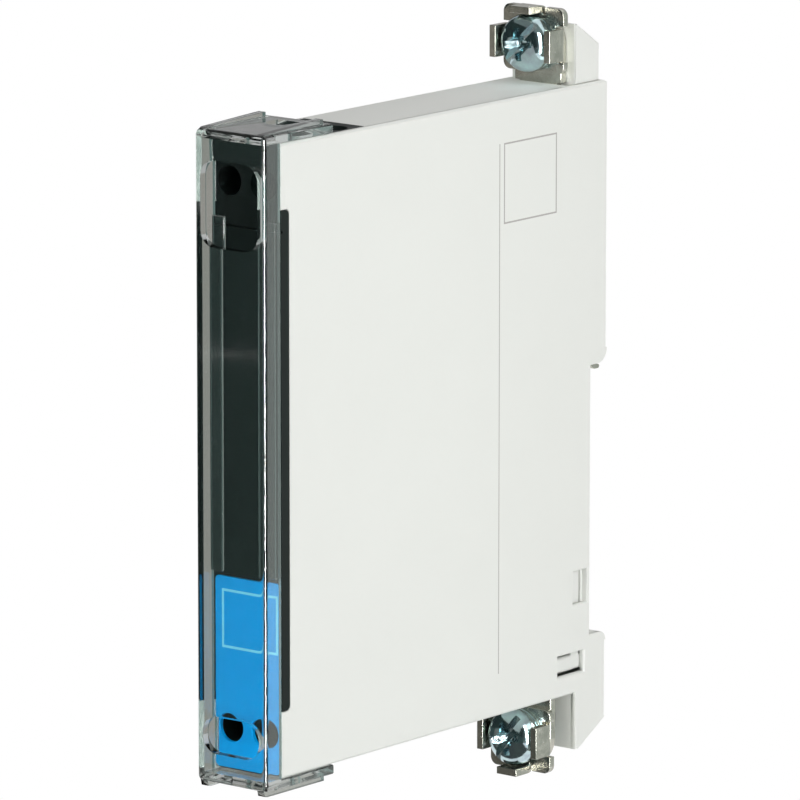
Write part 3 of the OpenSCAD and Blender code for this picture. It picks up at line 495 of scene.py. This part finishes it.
def closed_rings(name, rings):
    """A closed mesh over rings, with a flat cap at each end."""
    bm = bmesh.new()
    loops = [[bm.verts.new(point) for point in ring] for ring in rings]
    for low, high in zip(loops, loops[1:]):
        for i in range(len(low)):
            k = (i + 1) % len(low)
            bm.faces.new((low[i], low[k], high[k], high[i]))
    bm.faces.new(loops[0])
    bm.faces.new(loops[-1])
    bmesh.ops.recalc_face_normals(bm, faces=bm.faces)
    return finished_mesh(name, bm)


def cut(base, cutters, added=()):
    """The base mesh with the added meshes, minus the cutter meshes, one after the other."""
    body = add_object("cut_base", base)
    tools = []
    for kind, meshes in (("UNION", added), ("DIFFERENCE", cutters)):
        for mesh in meshes:
            tools.append(add_object("cut_tool", mesh))
            modifier = body.modifiers.new("cut", "BOOLEAN")
            modifier.operation = kind
            modifier.solver = "EXACT"
            modifier.object = tools[-1]
    bpy.context.view_layer.update()
    result = bpy.data.meshes.new_from_object(body.evaluated_get(bpy.context.evaluated_depsgraph_get()))
    for thing in [body] + tools:
        bpy.data.objects.remove(thing)
    return result


# Earth screws: domed heads with a slot across a cross recess, over threaded shanks
def pan_dome():
    """Profile of a pan head from its flat underside up to the middle of its dome."""
    dome = []
    for i in range(DOME_RINGS):
        angle = math.pi / 2 * (i + DOME_START) / DOME_RINGS
        side = HEAD_R * math.cos(angle) ** DOME_SIDE_POWER
        dome.append((side, -HEAD_RIM - (HEAD_H - HEAD_RIM) * math.sin(angle) ** DOME_TOP_POWER))
    return RIM_PROFILE + dome + [(DOME_TIP_R, -HEAD_H)]


def recess_arm(turn):
    """A cutter for one arm of the cross recess: wide and long at the mouth, small and short at its depth."""
    bm = bmesh.new()
    cos, sin = math.cos(turn), math.sin(turn)
    corners = []
    for y, far, half in ((-RECESS_MOUTH, ARM_REACH, ARM_RIM / 2), (RECESS_DEPTH, ARM_TIP, ARM_RIM / 4)):
        tip = half * ARM_NARROWING
        for along, across in ((ARM_BACK, -half), (far, -tip), (far, tip), (ARM_BACK, half)):
            corners.append(Vector((along * cos - across * sin, y, along * sin + across * cos)) * MM)
    verts = [bm.verts.new(corner) for corner in corners]
    for loop in ((0, 1, 2, 3), (7, 6, 5, 4), (0, 4, 5, 1), (1, 5, 6, 2), (2, 6, 7, 3), (3, 7, 4, 0)):
        bm.faces.new([verts[i] for i in loop])
    bmesh.ops.recalc_face_normals(bm, faces=bm.faces)
    return finished_mesh("arm", bm)


def head_slot(turn):
    """A cutter for the slot, a block across the head."""
    bm = bmesh.new()
    bmesh.ops.create_cube(bm, size=1)
    bmesh.ops.scale(bm, vec=[side * MM for side in SLOT_SIZE], verts=bm.verts)
    bmesh.ops.rotate(bm, cent=(0, 0, 0), matrix=Matrix.Rotation(-turn, 3, "Y"), verts=bm.verts)
    return finished_mesh("slot", bm)


def recess_cutters(head_y, cross_turn, slot_turn):
    """Cutters for a tapered cross recess, its round middle, and a slot across the head."""
    meshes = [recess_arm(math.radians(cross_turn + 90 * quarter)) for quarter in range(4)]
    meshes.append(closed_rings("middle", turned_rings(RECESS_MIDDLE, RECESS_STEPS)))
    meshes.append(head_slot(math.radians(slot_turn)))
    for mesh in meshes:
        mesh.transform(Matrix.Translation((0, head_y * MM, 0)))
    return meshes


def thread_radius(angle, radius, y):
    """Radius at an angle and a depth: a ridge that winds round the shank, but not on its narrow ends."""
    if radius <= THREAD_LEAST_R:
        return radius
    phase = (y / THREAD_PITCH - angle / (2 * math.pi)) % 1
    return radius - THREAD_DEPTH * (1 - abs(2 * phase - 1)) ** THREAD_POWER


def add_screw(end, place, cross_turn, slot_turn):
    node = "earth_screw_" + end
    low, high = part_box(node)
    seat_y = low[1] / MM + HEAD_H - place[1] / MM
    tip_y = high[1] / MM - place[1] / MM
    head = closed_rings("head", turned_rings([(r, y + seat_y) for r, y in pan_dome()], HEAD_STEPS))
    cut_head = cut(head, recess_cutters(seat_y - HEAD_H, cross_turn, slot_turn))
    count = int((tip_y - seat_y - THREAD_END) / THREAD_STEP)
    thread = [(THREAD_R, seat_y + THREAD_STEP * i) for i in range(count)]
    tip = [(radius, tip_y - back) for radius, back in SCREW_TIP]
    profile = [(NECK_R, seat_y - NECK_INSET)] + thread + tip
    shank = closed_rings("shank", turned_rings(profile, SHANK_STEPS, thread_radius))
    for name, mesh in (("head", cut_head), ("shank", shank)):
        mesh.transform(Matrix.Translation(place))
        piece = add_piece(node + "_" + name, mesh, BODY_OF[node], SLOT_OF[node])
        smooth(piece, TURNED_ANGLE)
        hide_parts(node)


# Spring washers: split rings with a narrow groove round the edge
def add_spring_washer(end, place):
    node = "spring_washer_" + end
    low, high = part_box(node)
    y0, y1 = low[1] / MM - place[1] / MM, high[1] / MM - place[1] / MM
    r = (high[0] - low[0]) / MM / 2
    bore, bore_edge, rim_edge = WASHER_BORE_R, WASHER_BORE_EDGE, WASHER_RIM_EDGE
    front = [(bore, y0 + bore_edge), (bore + bore_edge, y0), (r - rim_edge, y0), (r, y0 + rim_edge)]
    groove = [(r - depth, y0 + y) for depth, y in WASHER_GROOVE]
    rear = [(r, y1 - rim_edge), (r - rim_edge, y1), (bore + bore_edge, y1), (bore, y1 - bore_edge)]
    profile = front + groove + rear
    bm = bmesh.new()
    loops = [[bm.verts.new(point) for point in ring] for ring in turned_rings(profile, WASHER_STEPS)]
    for a in range(len(loops)):
        b = (a + 1) % len(loops)
        for i in range(WASHER_GAP, WASHER_STEPS):
            k = (i + 1) % WASHER_STEPS
            bm.faces.new((loops[a][i], loops[a][k], loops[b][k], loops[b][i]))
    bm.faces.new([loop[WASHER_GAP] for loop in loops])
    bm.faces.new([loop[0] for loop in loops])
    for loop in loops:
        for vert in loop[1:WASHER_GAP]:
            bm.verts.remove(vert)
    turn = Matrix.Rotation(math.radians(WASHER_TURN), 3, "Y")
    bmesh.ops.rotate(bm, cent=(0, 0, 0), matrix=turn, verts=bm.verts)
    bmesh.ops.recalc_face_normals(bm, faces=bm.faces)
    mesh = finished_mesh(node, bm)
    mesh.transform(Matrix.Translation(place))
    piece = add_piece(node + "_ring", mesh, BODY_OF[node], SLOT_OF[node])
    smooth(piece, TURNED_ANGLE)
    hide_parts(node)


# Blocks, prisms and outlines, in millimetres
def block_mesh(low, high, radius=0, wanted=None, segments=6):
    """A box between two corners, with the wanted edges rounded."""
    bm = bmesh.new()
    bmesh.ops.create_cube(bm, size=1)
    size = Vector([b - a for a, b in zip(low, high)]) * MM
    middle = Vector([a + b for a, b in zip(low, high)]) * MM / 2
    bmesh.ops.scale(bm, vec=size, verts=bm.verts)
    bmesh.ops.translate(bm, vec=middle, verts=bm.verts)
    if radius:
        round_edges(bm, radius * MM, segments, wanted or (lambda edge: True))
    return finished_mesh("block", bm)


def prism(points, low, high, place):
    """A prism over an outline of (a, b) points, between two depths, with place() giving each corner."""
    bm = bmesh.new()
    loops = [[bm.verts.new(place(a, b, depth) * MM) for a, b in points] for depth in (low, high)]
    for i in range(len(points)):
        k = (i + 1) % len(points)
        bm.faces.new((loops[0][i], loops[0][k], loops[1][k], loops[1][i]))
    bm.faces.new(loops[0])
    bm.faces.new(loops[1])
    bmesh.ops.recalc_face_normals(bm, faces=bm.faces)
    return finished_mesh("prism", bm)


def front_place(a, b, depth):
    return Vector((a, depth, b))


def top_place(a, b, depth):
    return Vector((a, b, depth))


def side_place(a, b, depth):
    return Vector((depth, a, b))


def rounded_outline(half_a, middle_b, half_b, r, steps=10):
    """A rectangle about a = 0 and b = middle_b, with round corners."""
    a0, a1 = -half_a, half_a
    b0, b1 = middle_b - half_b, middle_b + half_b
    corners = ((a1 - r, b1 - r, 0), (a0 + r, b1 - r, 90), (a0 + r, b0 + r, 180), (a1 - r, b0 + r, 270))
    points = []
    for a, b, start in corners:
        for i in range(steps + 1):
            angle = math.radians(start + 90 * i / steps)
            points.append((a + r * math.cos(angle), b + r * math.sin(angle)))
    return points


def d_outline(half, start, end, steps=16):
    """A window with a half-round front end."""
    arc = [(half * math.cos(math.pi * i / steps), start + half - half * math.sin(math.pi * i / steps))
           for i in range(steps + 1)]
    return arc + [(-half, end), (half, end)]


# Clear cover: the same walls, tongues, ribs, rails and windows as the solid, with moulded round corners
def not_at(y):
    """A test for the edges that don't lie in the plane at y, in millimetres."""
    return lambda edge: not all(near(vert.co.y, y * MM) for vert in edge.verts)


def rib_outline(front_y, end_y, face, outer, root, at_top):
    """Side view of a rib. The top ones taper gently, and the bottom ones start near their full height."""
    if at_top:
        rise, foot_y, full_y = TOP_RIB_RISE, front_y + TOP_RIB_FOOT, end_y
    else:
        rise, foot_y, full_y = LOW_RIB_RISE, front_y + LOW_RIB_FOOT, front_y + LOW_RIB_FULL
    start_y = front_y + RIB_START
    last_y = end_y + CUT_LAP
    start = face + (root - face) * RIB_START_SHARE
    foot = face + (outer - face) * rise
    front = [(start_y, root), (start_y, start), (foot_y, foot), (full_y, outer)]
    return front + [(last_y, outer), (last_y, root)]


def cover_walls(x, y0, rear, z0, z1, tongue_y1, rib_low, rib_top):
    """The front and side walls as one block, and the tongues and ribs that join it."""
    shell = block_mesh((-x, y0, z0), (x, rear, z1), COVER_CORNER_R, not_at(rear))
    lap = rear - TONGUE_LAP
    added = []
    for a, b in ((z1 - TONGUE_T, z1), (z0, z0 + TONGUE_T)):
        added.append(block_mesh((-x, lap, a), (x, tongue_y1, b), TONGUE_R, not_at(lap), 3))
    rib_y1 = tongue_y1 - RIB_END
    ends = ((z1, rib_top, z1 - RIB_ROOT, True), (z0, rib_low, z0 + RIB_ROOT, False))
    for side in (-1, 1):
        a, b = sorted(side * (x - inset) for inset in RIB_INSETS)
        for face, outer, root, at_top in ends:
            added.append(prism(rib_outline(y0, rib_y1, face, outer, root, at_top), a, b, side_place))
    return shell, added


def cover_openings(x, y0, rear, z0, z1):
    """The hollow inside, the two windows, and the catch windows in the tongues."""
    inner = x - SIDE_WALL
    hollow = block_mesh((-inner, y0 + FRONT_WALL, z0 + TONGUE_T), (inner, rear + 2, z1 - TONGUE_T))
    w = x - COVER_WINDOW_INSET
    upper = prism(rounded_outline(w, UPPER_Z, UPPER_HALF, UPPER_R), y0 - 1, y0 + 2, front_place)
    lower = prism(rounded_outline(w, LOWER_Z, LOWER_HALF, LOWER_R, 14), y0 - 1, y0 + 2, front_place)
    catch_y = FRONT_Y / MM + CATCH_START
    catch = d_outline(CATCH_HALF, catch_y, catch_y + CATCH_LENGTH)
    return [hollow, upper, lower] + [prism(catch, z - 3, z + 3, top_place) for z in (z0, z1)]


def cover_rails(x, rear):
    """The two rails that hold a label, inside the side walls."""
    inner = x - SIDE_WALL
    y0, y1 = rear - RAIL_Y[0], rear - RAIL_Y[1]
    z0, z1 = BOTTOM_Z / MM + RAIL_LOW, LID_HIGH[2] / MM - RAIL_TOP
    rails = []
    for side in (-1, 1):
        a, b = sorted((side * (inner + RAIL_LAP), side * (inner - RAIL_W)))
        rails.append(block_mesh((a, y0, z0), (b, y1, z1), RAIL_R))
    return rails


def add_cover():
    low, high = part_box("front_cover")
    x = SIDE_X / MM
    y0 = low[1] / MM
    rear = y0 + COVER_DEPTH
    rib_top, rib_low = high[2] / MM, low[2] / MM
    z1, z0 = rib_top - RIB_H, rib_low + RIB_H
    shell, added = cover_walls(x, y0, rear, z0, z1, high[1] / MM, rib_low, rib_top)
    mesh = cut(shell, cover_openings(x, y0, rear, z0, z1), added)
    mesh = cut(mesh, [], cover_rails(x, rear))
    bm = bmesh.new()
    bm.from_mesh(mesh)
    clean(bm, CUT_MERGE)
    soft_angle = math.radians(COVER_SOFT_ANGLE)
    soft_piece("front_cover", bm, COVER_EDGE_R * MM, lambda edge: edge.calc_face_angle(0) < soft_angle)


add_cover()


# Rail latch: the solid's bars and stems, with the arms rounded as the side window shows them
def mirrored(x0, x1, inset):
    """The x ranges of two boxes, one on each side, drawn in by the inset."""
    return [sorted((side * (x0 + inset), side * (x1 - inset))) for side in (-1, 1)]


def add_latch():
    low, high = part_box("rail_latch")
    x1, z0 = high[0] / MM, low[2] / MM
    x0 = x1 - LATCH_ARM_W
    z1 = z0 + LATCH_BAR_H
    arm_y0, nose_y1 = low[1] / MM, high[1] / MM
    bridge_z = high[2] / MM
    lap_z = z0 + LATCH_LAP
    nose_end = nose_y1 - NOSE_INSET
    nose = [(NOSE_Y, lap_z), (nose_end, lap_z), (nose_end, NOSE_EDGE_Z), NOSE_SLOPE, (NOSE_Y, NOSE_SLOPE[1])]
    bridge_y0, bridge_y1 = LATCH_BRIDGE_Y
    bridge_low = (-x1, bridge_y0, bridge_z - LATCH_BRIDGE_H)
    added = [prism(nose, -NOSE_HALF, NOSE_HALF, side_place),
             block_mesh(bridge_low, (x1, bridge_y1, bridge_z), LATCH_EDGE_R, None, 2)]
    stem_y0, stem_y1 = LATCH_STEM_Y
    stem_top = bridge_z - STEM_TOP_INSET
    arm_low, arm_top = z0 - LATCH_ARM_DROP, z1 - ARM_INSET
    for stem, arm in zip(mirrored(x0, x1, STEM_INSET), mirrored(x0, x1, ARM_INSET)):
        stem_low = (stem[0], stem_y0, lap_z)
        added.append(block_mesh(stem_low, (stem[1], stem_y1, stem_top), LATCH_EDGE_R, None, 2))
        added.append(block_mesh((arm[0], arm_y0, arm_low), (arm[1], LATCH_ARM_END, arm_top), LATCH_ARM_R))
    bar = block_mesh((-x1, LATCH_BAR_Y, z0), (x1, nose_y1, z1), LATCH_BAR_R, None, 5)
    piece = add_piece("rail_latch_bars", cut(bar, [], added), BODY_OF["rail_latch"], SLOT_OF["rail_latch"])
    smooth(piece, TURNED_ANGLE)
    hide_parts("rail_latch")


def add_spring():
    """The latch spring, as a copy of the solid with a mesh of its own, fixed to the housing."""
    source = frame["nodes"]["latch_spring"]
    mesh = source.data.copy()
    mesh.transform(source.matrix_world)
    mesh.materials.clear()
    piece = add_piece("latch_spring_coil", mesh, "housing", SLOT_OF["latch_spring"])
    smooth(piece, COIL_ANGLE)
    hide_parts("latch_spring")
    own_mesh(piece)


add_latch()
add_spring()
for end, cross_turn, slot_turn in SCREW_TURNS:
    low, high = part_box("spring_washer_" + end)
    axis = Vector((0, high[1], (low[2] + high[2]) / 2))
    add_screw(end, axis, cross_turn, slot_turn)
    add_spring_washer(end, axis)

for node, thing in frame["nodes"].items():
    for material_slot in thing.material_slots:
        material_slot.material = MATERIALS[SLOT_OF[node]]


# Print: thin generic lines on the side and on the marking plate
def flat_bars(name, bars, face, out, body, slot, material):
    """Thin bars on a plane: each as two corners (a0, b0, a1, b1) in millimetres, which face() places."""
    bm = bmesh.new()
    for bar in bars:
        a0, b0, a1, b1 = (value * MM for value in bar)
        low = [face(a, b) for a, b in ((a0, b0), (a1, b0), (a1, b1), (a0, b1))]
        high = [corner + out * INK for corner in low]
        verts = [bm.verts.new(corner) for corner in low + high]
        for loop in ((0, 1, 2, 3), (4, 5, 6, 7), (0, 1, 5, 4), (1, 2, 6, 5), (2, 3, 7, 6), (3, 0, 4, 7)):
            bm.faces.new([verts[i] for i in loop])
    bmesh.ops.recalc_face_normals(bm, faces=bm.faces)
    add_piece(name, finished_mesh(name, bm), body, slot, material)


def frame_bars(corners, w):
    """The four sides of a frame between two corners, with lines of width w."""
    a0, b0, a1, b1 = corners
    level = [(a0, b0, a1, b0 + w), (a0, b1 - w, a1, b1)]
    upright = [(a0, b0 + w, a0 + w, b1 - w), (a1 - w, b0 + w, a1, b1 - w)]
    return level + upright


def on_side(y, z):
    return Vector((SIDE_X, y, z))


def on_plate(x, z):
    return Vector((x, PLATE_LOW[1], z))


side_bars = frame_bars(SIDE_FRAME, SIDE_FRAME_W) + [SIDE_LINE]
plate_bars = frame_bars(PLATE_FRAME, PLATE_FRAME_W)
flat_bars("side_print", side_bars, on_side, Vector((1, 0, 0)), "housing", "housing_plastic", SIDE_INK)
flat_bars("plate_print", plate_bars, on_plate, Vector((0, -1, 0)), "housing", "plate_plastic", PLATE_INK)


# Rays: what a white surface shows to the camera, to reflections and through the clear cover
def dim_through(tree, path, source):
    """Sets a source's strength to 1, and lower for light that comes through the clear cover."""
    strength = tree.nodes.new("ShaderNodeMapRange")
    strength.inputs["To Min"].default_value = 1.0
    strength.inputs["To Max"].default_value = THROUGH_COVER
    tree.links.new(path.outputs["Is Transmission Ray"], strength.inputs["Value"])
    tree.links.new(strength.outputs["Result"], source.inputs["Strength"])


def any_ray(tree, path):
    """1 for camera, glossy and transmission rays, and 0 for all others."""
    last = path.outputs["Is Camera Ray"]
    for name in ("Is Glossy Ray", "Is Transmission Ray"):
        largest = tree.nodes.new("ShaderNodeMath")
        largest.operation = "MAXIMUM"
        tree.links.new(last, largest.inputs[0])
        tree.links.new(path.outputs[name], largest.inputs[1])
        last = largest.outputs["Value"]
    return last


def white_to_camera(mat):
    """White to camera, glossy and transmission rays, and its own colour to all other light."""
    tree = mat.node_tree
    path = tree.nodes.new("ShaderNodeLightPath")
    glow = tree.nodes.new("ShaderNodeEmission")
    dim_through(tree, path, glow)
    mix = tree.nodes.new("ShaderNodeMixShader")
    link(mat, any_ray(tree, path), mix.inputs["Fac"])
    link(mat, shader(mat).outputs["BSDF"], mix.inputs[1])
    link(mat, glow.outputs["Emission"], mix.inputs[2])
    link(mat, mix.outputs["Shader"], tree.nodes["Material Output"].inputs["Surface"])


# Stage: a pale floor far below, and grey and dark cards that only reflections and clear plastic see
def stage_plane(name, place, normal, width, height):
    mesh = bpy.data.meshes.new(name)
    turn = Vector(normal).to_track_quat("Z", "Y").to_matrix().to_4x4()
    corners = [Vector((a * width / 2, b * height / 2, 0)) for a, b in ((-1, -1), (1, -1), (1, 1), (-1, 1))]
    matrix = Matrix.Translation(place) @ turn
    mesh.from_pydata([matrix @ corner for corner in corners], [], [(0, 1, 2, 3)])
    plane = add_object(name, mesh)
    return plane


def card_paint(name, level, through, tint):
    """Glows at one level in reflections and at another through clear plastic, but at 1 to light that has
    met a matt surface, so that what lies behind the clear cover is lit as evenly as the rest."""
    mat = bpy.data.materials.new(name)
    mat.use_nodes = True
    mat.node_tree.nodes.clear()
    path = mat.node_tree.nodes.new("ShaderNodeLightPath")
    seen = add_node(mat, "ShaderNodeMapRange", From_Min=0, From_Max=1, To_Min=level, To_Max=through)
    link(mat, path.outputs["Is Transmission Ray"], seen.inputs["Value"])
    strength = add_node(mat, "ShaderNodeMapRange", From_Min=0, From_Max=1, To_Max=1.0)
    link(mat, path.outputs["Diffuse Depth"], strength.inputs["Value"])
    link(mat, seen.outputs["Result"], strength.inputs["To Min"])
    glow = add_node(mat, "ShaderNodeEmission", Color=(*tint, 1))
    link(mat, strength.outputs["Result"], glow.inputs["Strength"])
    out = mat.node_tree.nodes.new("ShaderNodeOutputMaterial")
    link(mat, glow.outputs["Emission"], out.inputs["Surface"])
    return mat


def only_reflected(card):
    card.visible_camera = False
    card.visible_diffuse = False
    card.visible_shadow = False


def away(azimuth, elevation):
    """A direction from the object: azimuth 0 is in front of it and grows towards +X."""
    return Vector((math.sin(azimuth) * math.cos(elevation), -math.cos(azimuth) * math.cos(elevation),
                   math.sin(elevation)))


def curved_card(name, azimuths, elevations, radius, level, through, tint=WHITE):
    """Part of a sphere around the object, between angles in degrees."""
    steps = 24
    verts = []
    for j in range(steps + 1):
        elevation = math.radians(elevations[0] + (elevations[1] - elevations[0]) * j / steps)
        for i in range(steps + 1):
            azimuth = math.radians(azimuths[0] + (azimuths[1] - azimuths[0]) * i / steps)
            verts.append(away(azimuth, elevation) * radius)
    row = steps + 1
    quads = [(j * row + i, j * row + i + 1, (j + 1) * row + i + 1, (j + 1) * row + i)
             for j in range(steps) for i in range(steps)]
    mesh = bpy.data.meshes.new(name)
    mesh.from_pydata(verts, [], quads)
    mesh.materials.append(card_paint(name + "_paint", level, through, tint))
    card = add_object(name, mesh)
    only_reflected(card)


def flat_card(name, place, normal, width, height, level, through, tint=WHITE):
    card = stage_plane(name, Vector(place), normal, width, height)
    card.data.materials.append(card_paint(name + "_paint", level, through, tint))
    only_reflected(card)


FLOOR_PAINT = new_material("floor_paint", (0.8, 0.8, 0.79), 0.7)
white_to_camera(FLOOR_PAINT)
floor = stage_plane("floor", Vector((0, 0, -0.16)), (0, 0, 1), 6, 6)
floor.data.materials.append(FLOOR_PAINT)

# Each row ends with the card's level in reflections, its level through clear plastic, and its tint
curved_card("grey_card", (-175, -112), (-40, 3), 0.42, 0.29, 0.33, WARM)
curved_card("upper_card", (-175, -112), (3, 45), 0.42, 0.48, 0.48)
curved_card("rear_card", (118, 185), (-21, 45), 0.44, 0.6, 0.3, PALE_GREEN)
curved_card("low_card", (-112, 100), (-75, -6), 0.45, 0.085, 0.2, GREEN_GREY)
curved_card("dark_card", (-112, 100), (-6, 38), 0.46, 0.04, 0.18, GREEN_GREY)
curved_card("sky_card", (-112, 100), (38, 85), 0.46, 0.22, 0.5, PALE_GREEN)
flat_card("under_card", (-0.03, -0.09, -0.075), (0, 0, 1), 0.16, 0.12, 0.08, 0.14, PALE_GREEN)
flat_card("side_card", (0.056, 0, -0.008), (-1, 0, 0), 0.06, 0.135, 1.7, 0.3, PALE_GREEN)
flat_card("upper_claw_card", (-0.05, -0.06, 0.046), (1, 0, 0), 0.04, 0.03, 0.36, 0.3, WARM)
flat_card("lower_claw_card", (-0.05, -0.06, -0.05), (1, 0, 0), 0.04, 0.03, 0.2, 0.3, WARM)


# Light: an even white world, a large soft key on the right, and a narrow strip for the edges
def area_lamp(name, offset, width, height, watts):
    """A lamp at an offset from the object's middle, which it is turned towards."""
    middle = Vector((0, -0.03, 0.015))
    place = middle + Vector(offset)
    data = bpy.data.lights.new(name, "AREA")
    data.shape = "RECTANGLE"
    data.size = width
    data.size_y = height
    data.energy = watts
    lamp = add_object(name, data)
    lamp.location = place
    lamp.rotation_euler = (middle - place).to_track_quat("-Z", "Y").to_euler()
    lamp.visible_camera = False
    return lamp


key = area_lamp("key", (0.46, -0.05, 0.19), 0.36, 0.36, 1.25)
key.visible_glossy = False
fill = area_lamp("fill", (-0.12, -0.50, 0.22), 0.4, 0.4, 0.6)
fill.visible_glossy = False
edge_light = area_lamp("edge_light", (0.30, -0.19, 0.03), 0.1, 0.5, 6)
edge_light.visible_diffuse = False
edge_light.visible_transmission = False


def add_world():
    """White to camera, glossy and transmission rays, and a lower level for all other light."""
    world = bpy.data.worlds.new("studio")
    bpy.context.scene.world = world
    world.use_nodes = True
    tree = world.node_tree
    tree.nodes.clear()
    ambient = tree.nodes.new("ShaderNodeBackground")
    ambient.inputs["Strength"].default_value = AMBIENT
    backdrop = tree.nodes.new("ShaderNodeBackground")
    ray = tree.nodes.new("ShaderNodeLightPath")
    dim_through(tree, ray, backdrop)
    for background in (ambient, backdrop):
        background.inputs["Color"].default_value = (*WHITE, 1)
    choice = tree.nodes.new("ShaderNodeMixShader")
    output = tree.nodes.new("ShaderNodeOutputWorld")
    tree.links.new(any_ray(tree, ray), choice.inputs["Fac"])
    tree.links.new(ambient.outputs["Background"], choice.inputs[1])
    tree.links.new(backdrop.outputs["Background"], choice.inputs[2])
    tree.links.new(choice.outputs["Shader"], output.inputs["Surface"])


def add_camera():
    back = away(AZIMUTH, ELEVATION)
    right = Vector((math.cos(AZIMUTH), math.sin(AZIMUTH), 0))
    turn = Matrix((right, back.cross(right), back)).transposed() @ Matrix.Rotation(ROLL, 3, "Z")
    data = bpy.data.cameras.new("camera")
    data.lens = LENS
    data.sensor_width = SENSOR
    camera = add_object("camera", data)
    camera.matrix_world = Matrix.Translation(TARGET + back * DISTANCE) @ turn.to_4x4()
    bpy.context.scene.camera = camera


add_world()
add_camera()

bpy.context.scene.view_settings.view_transform = "Standard"
